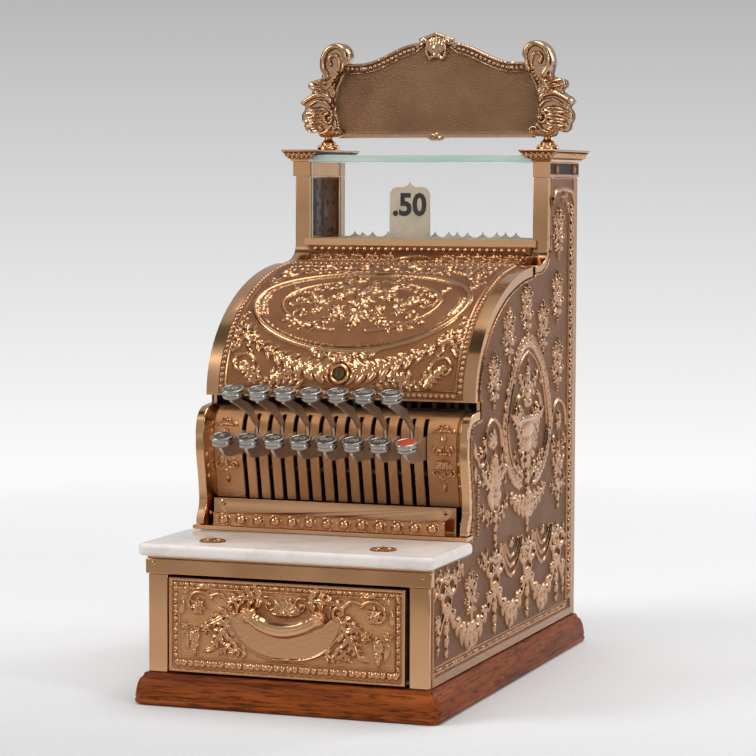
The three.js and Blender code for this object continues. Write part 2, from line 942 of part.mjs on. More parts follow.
function rearCover() {
  const x = innerX - seatGap;
  const backY = cabinetDepth - rearInset;
  const postFront = backY - rearPostDepth;
  return join(
    block(-x, x, backY - rearThickness, backY, floorZ, sillTopZ),
    block(-x, x, postFront, backY, sillTopZ - rearSillHeight, sillTopZ),
    block(-x, -postInnerX, postFront, backY, sillTopZ - rearSillHeight, postTopZ),
    block(postInnerX, x, postFront, backY, sillTopZ - rearSillHeight, postTopZ)
  );
}

function pilaster() {
  const innerEdge = halfCabinet - pilasterWidth;
  return block(innerEdge, halfCabinet, 0, pilasterDepth, floorZ, lintelBottomZ - seatGap);
}

function lintel() {
  const x = halfCabinet + lintelSideOverhang;
  const bandTopZ = lintelBottomZ + lintelHeight;
  const outline = [
    [-lintelFrontOverhang, lintelBottomZ],
    [pilasterDepth, lintelBottomZ],
    [pilasterDepth, marbleBottomZ - seatGap],
    [lintelLedgeSetback, marbleBottomZ - seatGap],
    [lintelLedgeSetback, bandTopZ],
    [-lintelFrontOverhang, bandTopZ],
  ];
  return sideExtrusion(outline, -x, x);
}

function marbleShelf() {
  const x = halfCabinet + marbleSideOverhang;
  const r = marbleEdgeRounding;
  const y = -marbleFrontOverhang;
  const ring = (z, inset) => roundedRing(-x, x, y, marbleBackY, z, marbleCornerRadius, inset);
  return loft([
    ring(marbleBottomZ, r * halfShare),
    ring(marbleBottomZ + r * halfShare, 0),
    ring(marbleTopZ - r, 0),
    ring(marbleTopZ - r * quarterShare, r * quarterShare),
    ring(marbleTopZ, r),
  ]);
}

// Drawer
function drawerFront() {
  const bottomZ = floorZ + drawerFrontBottomGap;
  const topZ = lintelBottomZ - drawerFrontTopGap;
  const plate = block(-drawerHalf, drawerHalf, -drawerFrontProud, drawerFrontBackY, bottomZ, topZ);
  const bow = Array.from({ length: bowSteps + 1 }, (_, i) => {
    const t = (2 * i) / bowSteps - 1;
    const halfHeight = pullBarHeight * (1 - t * t * halfShare) * halfShare;
    return [t * pullHalfWidth, pullEndZ - pullSag * (1 - t * t), halfHeight];
  });
  const crescent = [
    ...bow.map(([x, z, half]) => [x, z - half]),
    ...bow.map(([x, z, half]) => [x, z + half]).reverse(),
  ];
  const pullBackY = pullBarThickness - pullReach;
  const bar = frontExtrusion(crescent, -pullReach, pullBackY);
  const postHalfZ = pullBarHeight * quarterShare;
  const post = (side) => {
    const outer = side * pullHalfWidth;
    const inner = side * (pullHalfWidth - pullPostWidth);
    const [x0, x1] = [Math.min(outer, inner), Math.max(outer, inner)];
    return block(x0, x1, pullBackY - seatGap, 0, pullEndZ - pullBarHeight * halfShare, pullEndZ + postHalfZ);
  };
  return join(plate, bar, post(-1), post(1));
}

function drawerBox() {
  const x = drawerHalf - drawerBoxSideInset;
  const backY = drawerBoxFrontY + drawerBoxLength;
  const body = block(-x, x, drawerBoxFrontY, backY, drawerBoxZ, drawerBoxZ + drawerBoxHeight);
  const topZ = drawerBoxZ + drawerBoxHeight + cutOverrun;
  const bay = (x0, x1, y0, y1) => block(x0, x1, y0, y1, drawerBoxZ + drawerFloor, topZ);
  const inside = x - drawerWall;
  const cupY = drawerBoxFrontY + drawerWall;
  const cupWidth = (2 * inside - dividerThickness * (coinCupCount - 1)) / coinCupCount;
  const cups = Array.from({ length: coinCupCount }, (_, i) => {
    const x0 = -inside + i * (cupWidth + dividerThickness);
    return bay(x0, x0 + cupWidth, cupY, cupY + coinCupLength);
  });
  const notesY = cupY + coinCupLength + dividerThickness;
  const half = dividerThickness * halfShare;
  const notes = [
    bay(-inside, -half, notesY, backY - drawerWall),
    bay(half, inside, notesY, backY - drawerWall),
  ];
  return cut(body, ...cups, ...notes);
}

function drawerRails() {
  const outer = drawerHalf - drawerBoxSideInset;
  const frontY = pilasterDepth + railEndClearance;
  const backY = cabinetDepth - rearInset - rearThickness - railEndClearance;
  const topZ = floorZ + railHeight;
  const tieX = outer - seatGap;
  const tie = (y0) => block(-tieX, tieX, y0, y0 + railTieLength, floorZ, floorZ + railTieHeight);
  return join(
    block(-outer, railWidth - outer, frontY, backY, floorZ, topZ),
    block(outer - railWidth, outer, frontY, backY, floorZ, topZ),
    tie(frontY + railTieLength),
    tie(backY - 2 * railTieLength)
  );
}

// Key bank
function tillStrip() {
  const ledgeX = halfCabinet + ledgeOverlap;
  const stripX = keyFrameInnerX - seatGap;
  const backY = stripFrontY + stripThickness;
  const domes = Array.from({ length: domeCount }, (_, i) => {
    const x = (i - (domeCount - 1) * halfShare) * domePitch;
    const dome = new THREE.SphereGeometry(1, domeSides, domeRings);
    return dome.scale(domeRadius, domeRise, domeRadius).translate(x, stripFrontY, ledgeTopZ + domeCentreRise);
  });
  return join(
    block(-ledgeX, ledgeX, ledgeFrontY, backY, ledgeBottomZ, ledgeTopZ),
    block(-stripX, stripX, stripFrontY, backY, ledgeBottomZ, stripTopZ),
    ...domes
  );
}

// A polished face along the S curve, and a bevel from its inner edge back to the slotted plate
function keyFrame() {
  const face = keyBankCurve(keyFrameShares, 0);
  const faceBack = keyBankCurve(keyFrameShares, keyFrameThickness);
  const bevel = keyBankCurve(plateShares, 0);
  const bevelBack = keyBankCurve(plateShares, plateThickness);
  const faceX = halfCabinet - keyFrameFaceWidth;
  const returnX = innerX - 2 * seatGap;
  return loft(
    face.map((point, i) => [
      [returnX, ...faceBack[i]],
      [returnX, ...bevelBack[i]],
      [keyFrameInnerX, ...bevelBack[i]],
      [keyFrameInnerX, ...bevel[i]],
      [faceX, ...point],
      [halfCabinet, ...point],
      [halfCabinet, ...faceBack[i]],
    ])
  );
}

function keycheckPlate() {
  const front = above(keyBankCurve(plateShares, 0), stripTopZ + seatGap);
  const back = above(keyBankCurve(plateShares, plateThickness), stripTopZ + seatGap);
  const x = keyFrameInnerX - seatGap;
  const topZ = front[front.length - 1][1];
  const plate = sideExtrusion([...front, ...back.reverse()], -x, x);
  const slots = keyPlaces.map(({ x: slotX }) =>
    block(
      slotX - slotWidth * halfShare,
      slotX + slotWidth * halfShare,
      ledgeFrontY,
      notchY,
      stripTopZ - cutOverrun,
      topZ - slotTopBar
    )
  );
  return cut(plate, ...slots);
}

// Keys
function leverOutline(upper) {
  const tail = [
    [tailPadY, tailTopZ - tailHeight],
    [tailEndY, tailTopZ - tailHeight],
    [tailEndY, tailTopZ],
    [tailPadY, tailTopZ],
  ];
  const hubReach = hubRadius * diagonalShare;
  const underHub = [pivotY, pivotZ - hubRadius];
  const overHub = [pivotY, pivotZ + hubRadius];
  if (upper) {
    return [
      [upperCapY - capNeck, upperCapZ],
      [upperCapY - capNeck, upperCapZ - capHeight],
      [upperCapY + capRadius, upperCapZ - leverDepth],
      [upperElbowY, upperLeverBottomZ + 2 * upperElbowRise],
      [slotCrossY - hubReach * halfShare, upperLeverBottomZ + upperElbowRise],
      [slotCrossY, upperLeverBottomZ],
      underHub,
      ...tail,
      overHub,
      [slotCrossY, upperLeverTopZ],
      [upperElbowY, upperLeverTopZ + upperElbowTopRise],
      [upperCapY + capRadius, upperCapZ - capNeck],
      [upperCapY + capNeck, upperCapZ],
    ];
  }
  return [
    [lowerCapY - capNeck, lowerCapZ],
    [lowerCapY - capNeck, lowerCapZ - capHeight],
    [lowerCapY + capNeck * halfShare, lowerLeverBottomZ + capNeck * halfShare],
    [lowerDipY, lowerLeverBottomZ],
    [slotCrossY, lowerLeverBottomZ],
    underHub,
    ...tail,
    overHub,
    [slotCrossY, lowerLeverTopZ],
    [lowerCapY + 2 * capRadius, lowerLeverTopZ - capNeck],
    [lowerCapY + capRadius, lowerCapZ - capNeck * halfShare],
    [lowerCapY + capNeck, lowerCapZ],
  ];
}

function key({ x, upper }) {
  const half = leverThickness * halfShare;
  const capY = upper ? upperCapY : lowerCapY;
  const capZ = upper ? upperCapZ : lowerCapZ;
  const tilt = Math.PI * halfShare + THREE.MathUtils.degToRad(capTiltDegrees);
  const cap = cylinder(capRadius, capHeight).rotateX(tilt).translate(x, capY, capZ);
  const lever = sideExtrusion(leverOutline(upper), x - half, x + half);
  const hub = crossBar(hubRadius, x - half, x + half, pivotY, pivotZ);
  const bore = crossBar(shaftRadius + shaftGap, x - capRadius, x + capRadius, pivotY, pivotZ);
  return cut(join(lever, hub, cap), bore);
}

// Lid
function lid() {
  const edge = (depth, x0, x1) =>
    sideExtrusion([...lidCurve(0, 0, lidTopDegrees), ...lidCurve(depth, 0, lidTopDegrees).reverse()], x0, x1);
  const [[lidEndY]] = lidCurve(0, lidTopDegrees, lidTopDegrees, 1);
  const knuckles = hingeParts(1).flatMap(([x0, x1]) => [
    crossBar(hingeBarrelRadius, x0, x1, hingeY, hingeZ),
    block(x0, x1, lidEndY - hingeBarrelRadius, hingeY, hingeZ - leafHalf, hingeZ + leafHalf),
  ]);
  const ring = onLidNormal(cylinder(lockRingRadius, 2 * lockRingRise), 0);
  const shell = join(
    edge(lidThickness, -lidHalfWidth, lidHalfWidth),
    edge(lidFlangeDepth, -lidHalfWidth, lidFlangeThickness - lidHalfWidth),
    edge(lidFlangeDepth, lidHalfWidth - lidFlangeThickness, lidHalfWidth),
    ring,
    ...lidOrnament(),
    ...knuckles
  );
  const lockBore = onLidNormal(cylinder(lockBarrelRadius + seatGap, 2 * lockBarrelLength), 0);
  const pinBore = crossBar(hingePinRadius + hingePinGap, -lidHalfWidth, lidHalfWidth, hingeY, hingeZ);
  return cut(shell, lockBore, pinBore);
}

// A place on the lid's outer face: across, along the curve from the lower edge, and out from it
function lidPlace() {
  const line = lidCurve(0, 0, lidTopDegrees);
  const steps = line.slice(1).map((p, i) => Math.hypot(p[0] - line[i][0], p[1] - line[i][1]));
  const total = steps.reduce((sum, step) => sum + step, 0);
  const place = (x, along, rise) => {
    let left = along;
    let i = 0;
    while (i < steps.length - 1 && left > steps[i]) {
      left -= steps[i];
      i += 1;
    }
    const dy = (line[i + 1][0] - line[i][0]) / steps[i];
    const dz = (line[i + 1][1] - line[i][1]) / steps[i];
    return [x, line[i][0] + dy * left - dz * rise, line[i][1] + dz * left + dy * rise];
  };
  return { place, total };
}

function lidOrnament() {
  const { place, total } = lidPlace();
  const ovalArc = lidOvalShare * total;
  const borderX = lidHalfWidth - lidBorderInset;
  const oval = (halfWidth, halfHeight, band) =>
    ribbonOn(place, ovalLine(ovalArc, halfWidth, halfHeight), band, band, reliefRise, true);
  const border = (from, to, steps) => {
    const line = Array.from({ length: steps + 1 }, (_, i) => {
      const t = i / steps;
      return [from[0] + (to[0] - from[0]) * t, from[1] + (to[1] - from[1]) * t];
    });
    return ribbonOn(place, line, lidBorderBand, lidBorderBand, reliefRise);
  };
  const low = lidBorderMargin;
  const high = total - lidBorderMargin;
  const sides = [-1, 1];
  const paired = (x, make) => (x === 0 ? [make(1)] : sides.map(make));
  return [
    oval(lidOvalHalfWidth, lidOvalHalfHeight, lidOvalBand),
    oval(lidOvalInnerHalfWidth, lidOvalInnerHalfHeight, lidOvalInnerBand),
    ribbonOn(
      place,
      hangingLine(-garlandHalfWidth, garlandHalfWidth, garlandEndArc, garlandSag),
      garlandTip,
      garlandBand,
      reliefRise
    ),
    ...sides.map((side) => border([side * borderX, low], [side * borderX, high], lidSegments)),
    border([-borderX, low], [borderX, low], 1),
    border([-borderX, high], [borderX, high], 1),
    ...blossomShares.flatMap(([x, v]) =>
      paired(x, (side) => bossOn(place, [side * x * halfCabinet, v * total], round(blossomRadius), reliefRise))
    ),
    ...sprayShares.flatMap((line) =>
      paired(line[0][0], (side) => {
        const points = line.map(([x, v]) => [side * x * halfCabinet, v * total]);
        return ribbonOn(place, points, sprayTip, sprayBand, reliefRise);
      })
    ),
  ];
}

function lidLock() {
  const barrel = cylinder(lockBarrelRadius, lockBarrelLength).translate(0, -lockBarrelLength * halfShare, 0);
  const slot = new THREE.BoxGeometry(lockSlotWidth, 2 * lockSlotDepth, lockSlotLength);
  return cut(onLidNormal(barrel, lockBarrelRise), onLidNormal(slot, lockBarrelRise));
}

function onLidNormal(geometry, rise) {
  const angle = THREE.MathUtils.degToRad(lockDegrees);
  const [[y, z]] = lidCurve(0, lockDegrees, lockDegrees, 1);
  const climb = Math.atan2(Math.sin(angle) / lidRise, Math.cos(angle) / lidReach);
  return geometry
    .translate(0, rise, 0)
    .rotateX(Math.PI - climb)
    .translate(0, y, z);
}

function hingeParts(remainder) {
  const length = hingeSpan / hingeKnuckles;
  const startX = -hingeSpan * halfShare;
  return Array.from({ length: hingeKnuckles }, (_, i) => i)
    .filter((i) => i % 2 === remainder)
    .map((i) => [startX + i * length + seatGap, startX + (i + 1) * length - seatGap]);
}

function apron() {
  const x = postInnerX - seatGap;
  const sillBackY = sillFrontY + sillDepth;
  const outline = [
    ...cavettoCurve(0),
    [sillFrontY, sillBottomZ],
    [sillFrontY, sillTopZ],
    [sillBackY, sillTopZ],
    [sillBackY, sillBottomZ],
    ...cavettoCurve(apronThickness).reverse(),
  ];
  const pinX = hingeSpan * halfShare - 2 * seatGap;
  const knuckles = hingeParts(0).flatMap(([x0, x1]) => [
    crossBar(hingeBarrelRadius, x0, x1, hingeY, hingeZ),
    block(x0, x1, hingeY, apronStartY + leafHalf, hingeZ - leafHalf, hingeZ + leafHalf),
  ]);
  return join(
    sideExtrusion(outline, -x, x),
    block(-sillHalfWidth, sillHalfWidth, sillFrontY, sillFrontY + sillLip, sillBottomZ, sillTopZ),
    crossBar(hingePinRadius, -pinX, pinX, hingeY, hingeZ),
    ...knuckles
  );
}

// Window case
function windowPost() {
  const outline = [
    ...cavettoCurve(0),
    [postFrontY, postTopZ],
    [postBackY, postTopZ],
    [postBackY, sillBottomZ],
    ...cavettoCurve(footThickness).reverse(),
  ];
  return sideExtrusion(outline, postInnerX, halfCabinet);
}

function uprightGlass(y) {
  const x = postInnerX - seatGap;
  return block(-x, x, y, y + glassThickness, sillTopZ + seatGap, topGlassBottomZ - seatGap);
}

function topGlass() {
  const x = postInnerX - seatGap;
  const frontY = postFrontY - topGlassFrontOverhang;
  const backY = cabinetDepth + topGlassBackOverhang;
  return block(-x, x, frontY, backY, topGlassBottomZ, topGlassBottomZ + topGlassThickness);
}

function cornice() {
  const baseZ = postTopZ + seatGap;
  const flareZ = baseZ + corniceBlockHeight + corniceNeckHeight;
  const slabZ = corniceTopZ - corniceSlabThickness;
  const ring = (z, side, front, back) => [
    [corniceInnerX, postFrontY - front, z],
    [halfCabinet + side, postFrontY - front, z],
    [halfCabinet + side, cabinetDepth + back, z],
    [corniceInnerX, cabinetDepth + back, z],
  ];
  const o = corniceBlockOverhang;
  const grow = (share) => [
    o + (corniceTopOverhang - o) * share,
    o + (corniceFrontReach - o) * share,
    o + (corniceBackReach - o) * share,
  ];
  const body = loft([
    ring(baseZ, ...grow(0)),
    ring(baseZ + corniceBlockHeight, ...grow(0)),
    ring(flareZ, ...grow(corniceNeckShare)),
    ring(flareZ + (slabZ - flareZ) * corniceCurveHeightShare, ...grow(corniceCurveReachShare)),
    ring(slabZ + seatGap, ...grow(1 - corniceNeckShare)),
  ]);
  const returnBackY = postFrontY - topGlassFrontOverhang - seatGap;
  const returnRing = (z, side, front) => [
    [corniceInnerX - side, postFrontY - front, z],
    [corniceInnerX + cutOverrun, postFrontY - front, z],
    [corniceInnerX + cutOverrun, returnBackY, z],
    [corniceInnerX - side, returnBackY, z],
  ];
  const innerReturn = loft([
    returnRing(flareZ + (slabZ - flareZ) * corniceCurveHeightShare, ...grow(corniceCurveReachShare)),
    returnRing(slabZ + seatGap, ...grow(1 - corniceNeckShare)),
  ]);
  const slab = block(
    corniceInnerX - corniceTongue,
    halfCabinet + corniceTopOverhang,
    postFrontY - corniceFrontReach,
    cabinetDepth + corniceBackReach,
    slabZ,
    corniceTopZ
  );
  return join(body, innerReturn, slab);
}

// Marquee sign and finials
function signSide() {
  return signSideShares.map(([x, z]) => [x * signHalfWidth, signBottomZ + z * signPanelHeight]);
}

function sign() {
  const shoulderX = signHalfWidth * signShoulderShare;
  const rise = Array.from({ length: archSteps }, (_, i) => {
    const t = i / archSteps;
    const wave = (1 - Math.cos(Math.PI * t)) * halfShare;
    return [shoulderX - (shoulderX - signCrestHalfWidth) * t, signShoulderZ + signArchHeight * wave];
  });
  const crest = signCrestShares.map(([x, z]) => [x * signCrestHalfWidth, signNeckZ + z * signCrestHeight]);
  const right = [
    [signDropHalfWidth * halfShare, signBottomZ - signDropHeight],
    [signDropHalfWidth, signBottomZ],
    ...signSide(),
    ...rise,
    ...crest,
  ];
  const left = right
    .slice(0, -1)
    .reverse()
    .map(([x, z]) => [-x, z]);
  const half = signThickness * halfShare;
  return frontExtrusion([...right, ...left], signY - half, signY + half);
}

function finial() {
  const scroll = finialShares.map(([x, z]) => [
    finialInnerX + x * (finialOuterX - finialInnerX),
    signBottomZ + z * finialHeight,
  ]);
  const outline = [...offsetLine(signSide(), -seatGap), ...scroll];
  const half = finialThickness * halfShare;
  const footZ = corniceTopZ + seatGap;
  const foot = cylinder(finialFootRadius, finialFootHeight).rotateX(Math.PI * halfShare);
  const stemLength = signBottomZ + finialStemRadius - footZ;
  const stem = cylinder(finialStemRadius, stemLength).rotateX(Math.PI * halfShare);
  return join(
    frontExtrusion(outline, signY - half, signY + half),
    foot.translate(finialFootX, signY, footZ + finialFootHeight * halfShare),
    stem.translate(finialFootX, signY, footZ + stemLength * halfShare)
  );
}

// Tablets and their rack
function tablet({ x, number, rowY }) {
  const lift = number === raisedKey ? tabletTravel : 0;
  const tipZ = tabletLowTipZ + lift;
  const bottomZ = tipZ - tabletHeight;
  const footZ = stemFootZ(rowY) + lift;
  const halfWidth = tabletWidth * halfShare;
  const halfStem = tabletStemWidth * halfShare;
  const shoulderZ = tipZ - tabletPoint;
  const corner = Array.from({ length: cornerSteps + 1 }, (_, i) => {
    const angle = (i / cornerSteps) * Math.PI * halfShare;
    return [
      halfWidth - tabletCornerRadius * (1 - Math.cos(angle)),
      shoulderZ - tabletCornerRadius * (1 - Math.sin(angle)),
    ];
  });
  const outline = [
    [x - halfStem, footZ],
    [x + halfStem, footZ],
    [x + halfStem, bottomZ],
    [x + halfWidth, bottomZ],
    ...corner.map(([a, z]) => [x + a, z]),
    [x + tabletShoulder, shoulderZ],
    [x + tabletShoulder * quarterShare, shoulderZ + tabletPoint * halfShare],
    [x, tipZ],
    [x - tabletShoulder * quarterShare, shoulderZ + tabletPoint * halfShare],
    [x - tabletShoulder, shoulderZ],
    ...corner.map(([a, z]) => [x - a, z]).reverse(),
    [x - halfWidth, bottomZ],
    [x - halfStem, bottomZ],
  ];
  return frontExtrusion(outline, rowY, rowY + tabletThickness);
}

// Lowest place for a stem foot that its lever never pushes past the end of the travel
function stemFootZ(rowY) {
  const travel = THREE.MathUtils.degToRad(keyTravelDegrees);
  const reach = rowY + tabletThickness - pivotY;
  const pressedZ = pivotZ + reach * Math.sin(travel) - tailPadDrop * Math.cos(travel);
  return Math.max(tailTopZ, pressedZ - tabletTravel) + seatGap;
}

function tabletRack() {
  const x = innerX - seatGap;
  const upperZ = tabletLowTipZ - tabletHeight - seatGap;
  const [y0, y1] = [tabletFirstRowY - rackMargin, tabletLastRowBackY + rackMargin];
  const body = join(
    block(-x, x, y0, y1, upperZ - rackPlateThickness, upperZ),
    block(-x, x, y0, y1, rackLowerZ, rackLowerZ + rackPlateThickness),
    block(-x, rackStrapWidth - x, y0, y1, rackLowerZ, upperZ),
    block(x - rackStrapWidth, x, y0, y1, rackLowerZ, upperZ)
  );
  const gap = rackHoleSideGap;
  const holes = keyPlaces.map(({ x: holeX, rowY }) =>
    block(
      holeX - tabletStemWidth * halfShare - gap,
      holeX + tabletStemWidth * halfShare + gap,
      rowY - gap,
      rowY + tabletThickness + gap,
      rackLowerZ - cutOverrun,
      upperZ + cutOverrun
    )
  );
  return cut(body, ...holes);
}

// Assembly, moved so that the origin is under the middle
const register = new THREE.Group();
register.position.y = -(frontReachY + rearReachY) * halfShare;
register.add(
  mesh("plinth", plinth(), mahogany),
  ...pair("side_panel", sidePanel(), castBrass),
  mesh("rear_cover", rearCover(), castBrass),
  ...pair("front_pilaster", pilaster(), polishedBrass),
  mesh("front_lintel", lintel(), polishedBrass),
  mesh("marble_shelf", marbleShelf(), marble),
  mesh("drawer_front", drawerFront(), castBrass),
  mesh("drawer_box", drawerBox(), drawerWood),
  mesh("drawer_rails", drawerRails(), steel),
  mesh("till_strip", tillStrip(), castBrass),
  ...pair("key_frame", keyFrame(), polishedBrass),
  mesh("keycheck_plate", keycheckPlate(), castBrass),
  mesh("key_shaft", crossBar(shaftRadius, seatGap - innerX, innerX - seatGap, pivotY, pivotZ), steel),
  mesh("lid", lid(), castBrass),
  mesh("lid_lock", lidLock(), polishedBrass),
  mesh("window_apron", apron(), castBrass),
  ...pair("window_post", windowPost(), polishedBrass),
  mesh("front_glass", uprightGlass(frontGlassY), glass),
  mesh("rear_glass", uprightGlass(rearGlassY), glass),
  mesh("top_glass", topGlass(), glass),
  ...pair("cornice", cornice(), castBrass),
  mesh("marquee_sign", sign(), castBrass),
  ...pair("sign_finial", finial(), castBrass),
  mesh("tablet_rack", tabletRack(), steel)
);
keyPlaces.forEach((place) => {
  const label = String(place.number).padStart(2, "0");
  register.add(mesh(`key_${label}`, key(place), nickel));
  register.add(mesh(`tablet_${label}`, tablet(place), enamel));
});

export default register;
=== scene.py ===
# %% [markdown]
# An antique counter cash register in polished and cast brass, dressed over its packed solids. Its numbers
# are in millimetres, and only the camera, the studio and the depths in the finishes are in metres. A place
# is (x, d, z): x across, d back from the drawer frame's front face and z up from the table. One function at
# the end of each maker turns that into the frame's metres.

import math

import bmesh
import bpy
import numpy as np
from mathutils import Matrix, Vector


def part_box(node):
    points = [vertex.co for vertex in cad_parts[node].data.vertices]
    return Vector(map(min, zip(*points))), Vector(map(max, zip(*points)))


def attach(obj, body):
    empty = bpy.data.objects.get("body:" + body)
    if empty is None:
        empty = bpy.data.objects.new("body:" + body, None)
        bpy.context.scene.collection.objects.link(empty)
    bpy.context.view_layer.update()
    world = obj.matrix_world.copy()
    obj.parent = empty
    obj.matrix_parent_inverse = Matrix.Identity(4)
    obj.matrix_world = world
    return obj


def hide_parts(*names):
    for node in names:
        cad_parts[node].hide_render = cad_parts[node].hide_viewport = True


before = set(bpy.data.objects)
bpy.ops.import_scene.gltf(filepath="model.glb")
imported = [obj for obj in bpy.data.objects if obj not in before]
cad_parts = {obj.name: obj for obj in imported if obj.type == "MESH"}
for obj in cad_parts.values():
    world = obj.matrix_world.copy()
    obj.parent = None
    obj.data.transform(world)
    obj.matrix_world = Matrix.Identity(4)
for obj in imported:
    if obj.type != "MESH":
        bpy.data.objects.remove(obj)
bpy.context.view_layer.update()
MM = 0.001
FRONT_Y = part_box("front_pilaster_left")[0][1]
SIDES = (("left", -1), ("right", 1))
LOOKS = (("front", -1), ("back", 1))


def to_frame(points):
    """Millimetre places (x, d, z) as metre points: y = d * MM + the y of the drawer frame's front face."""
    points = np.asarray(points, dtype=float) * MM
    return points + np.array([0.0, FRONT_Y, 0.0])


def from_frame(points):
    """Metre points as millimetre places: the way back."""
    return (np.asarray(points, dtype=float) - np.array([0.0, FRONT_Y, 0.0])) / MM


def node_box(name):
    """Lowest and highest corner of a solid as (x, d, z) in millimetres."""
    low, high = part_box(name)
    return from_frame(low), from_frame(high)


def mesh_places(mesh):
    """The places of a mesh's points."""
    return from_frame([tuple(v.co) for v in mesh.vertices])


# %% [markdown]
# The camera stands where the photographer stood, to the right of the register and a little above its
# middle. Its place and turn come from the straight edges of the case, so the render lies over the
# photograph.

# %% Camera
CAMERA_PLACE = Vector((0.7666, -2.1359, 0.4066))
RIGHT = Vector((0.941502, 0.336988, 0.003627))
DOWN = Vector((0.027183, -0.065208, -0.997501))
FORWARD = Vector((-0.335909, 0.939248, -0.070554))
FOCAL_PIXELS = 2728.4
IMAGE_PIXELS = 756

camera_data = bpy.data.cameras.new("camera")
camera_data.sensor_width = 36
camera_data.lens = FOCAL_PIXELS * camera_data.sensor_width / IMAGE_PIXELS
camera_data.clip_end = 60
camera = bpy.data.objects.new("camera", camera_data)
turn = Matrix((RIGHT, -DOWN, -FORWARD)).transposed().to_4x4()
camera.matrix_world = Matrix.Translation(CAMERA_PLACE) @ turn
bpy.context.collection.objects.link(camera)
bpy.context.scene.camera = camera
print("lens", round(camera_data.lens, 1), "mm")

# %% [markdown]
# Every finish is a small tree of shader nodes. The colours are written as sRGB hex codes, as a paint
# chart gives them, and one function turns a code into the linear numbers that the shader wants. A second
# function adds a node and joins or sets its inputs in one call.

# %% Colour and node helpers
def linear(code):
    """sRGB hex to linear light: c / 12.92 below 0.04045, else ((c + 0.055) / 1.055) ** 2.4."""
    parts = [int(code[i:i + 2], 16) / 255 for i in (1, 3, 5)]
    return (*[c / 12.92 if c <= 0.04045 else ((c + 0.055) / 1.055) ** 2.4 for c in parts], 1.0)


def add_node(tree, kind, *values, out=0, **others):
    """Add one shader node, and give back the socket that out names.

    The values go to its inputs in order. A name that the node knows is one of its own choices, i6 is input 6,
    any other name is an input's, with _ for a space. A value is a number, a colour code or a socket to join.
    """
    node = tree.nodes.new("ShaderNode" + kind)
    inputs = dict(enumerate(values))
    for key, value in others.items():
        if hasattr(node, key):
            setattr(node, key, value)
        else:
            inputs[int(key[1:]) if key[1:].isdigit() else key.replace("_", " ")] = value
    for key, value in inputs.items():
        if isinstance(value, bpy.types.NodeSocket):
            tree.links.new(value, node.inputs[key])
        else:
            node.inputs[key].default_value = linear(value) if isinstance(value, str) else value
    return node.outputs[out] if len(node.outputs) else None


def new_finish(name):
    """An empty material, its tree, and the point on the object in metres, where its noises are looked up."""
    material = bpy.data.materials.new(name)
    material.use_nodes = True
    tree = material.node_tree
    tree.nodes.clear()
    return material, tree, add_node(tree, "TexCoord", out="Object")


def noise(tree, place, scale, detail=3.0, roughness=0.55, stretch=(1, 1, 1)):
    """Cloudy noise of so many bumps a metre, stretched along an axis where the real mark runs that way."""
    mapped = add_node(tree, "Mapping", place, Scale=stretch)
    return add_node(tree, "TexNoise", mapped, Scale=scale, Detail=detail, Roughness=roughness)


BROAD, FINE = 0, 1


def surface(name, broad, fine, colours, rough, tilt, spots=None, **others):
    """A finish from two noises: broad clouds run between its colours, and fine grain spots and tilts it.

    broad and fine are noises: bumps a metre, detail, roughness and stretch. colours is one code, or the
    values of the broad noise at which the first and the second code are reached, and the codes. rough is one
    number, or a noise, two values of it and the roughness at each. spots is two values of the fine noise,
    the share at the second and the code. tilt is the depth of the grain in metres and its strength.
    """
    material, tree, place = new_finish(name)
    noises = noise(tree, place, *broad), noise(tree, place, *fine)
    colour = colours
    if not isinstance(colours, str):
        share = add_node(tree, "MapRange", noises[BROAD], *colours[:2])
        colour = add_node(tree, "Mix", share, data_type="RGBA", i6=colours[2], i7=colours[3], out=2)
    if spots:
        share = add_node(tree, "MapRange", noises[FINE], *spots[:2], 0.0, spots[2])
        colour = add_node(tree, "Mix", share, data_type="RGBA", i6=colour, i7=spots[3], out=2)
    if isinstance(rough, tuple):
        rough = add_node(tree, "MapRange", noises[rough[0]], *rough[1:])
    normal = add_node(tree, "Bump", Height=noises[FINE], Distance=tilt[0], Strength=tilt[1])
    shader = add_node(tree, "BsdfPrincipled", Base_Color=colour, Roughness=rough, Normal=normal, **others)
    add_node(tree, "OutputMaterial", shader)
    return material


print("helpers ready")

# %% [markdown]
# The case is red brass. The mouldings were buffed to a mirror and lacquered, and the lacquer has aged to
# a warm rose gold. Buffing leaves very fine lines along the piece and a slow change in how sharp a
# reflection is. The cast panels were cleaned, then only the raised ornament was rubbed bright: the ground
# between the leaves keeps its grainy casting skin and a brown patina. The maker of a relief stores its
# height in the mesh, and the finish reads it, so bright and dull brass meet exactly at the foot of each
# leaf. The chaser's punches left the rubbed parts in small facets, which make them sparkle. The sign was
# cast in a greyer brass, and the lid lock's barrel is a darker olive brass. The key bank and the drawer
# front take a lighter copy of the cast brass, a painted bright reflection, and the cornice's flare sides
# are painted nearly black, a painted dark reflection.

# %% Brass finishes
BRASS = surface("polished brass", (14, 2), (420, 2, 0.6, (1, 1, 0.12)), (0.35, 0.65, "#cb9b70", "#d8a97f"),
                rough=(BROAD, 0.3, 0.7, 0.13, 0.22), tilt=(0.00004, 0.35), Metallic=1.0)
FOOT_OF_LEAF, TOP_OF_LEAF = 0.12, 0.62


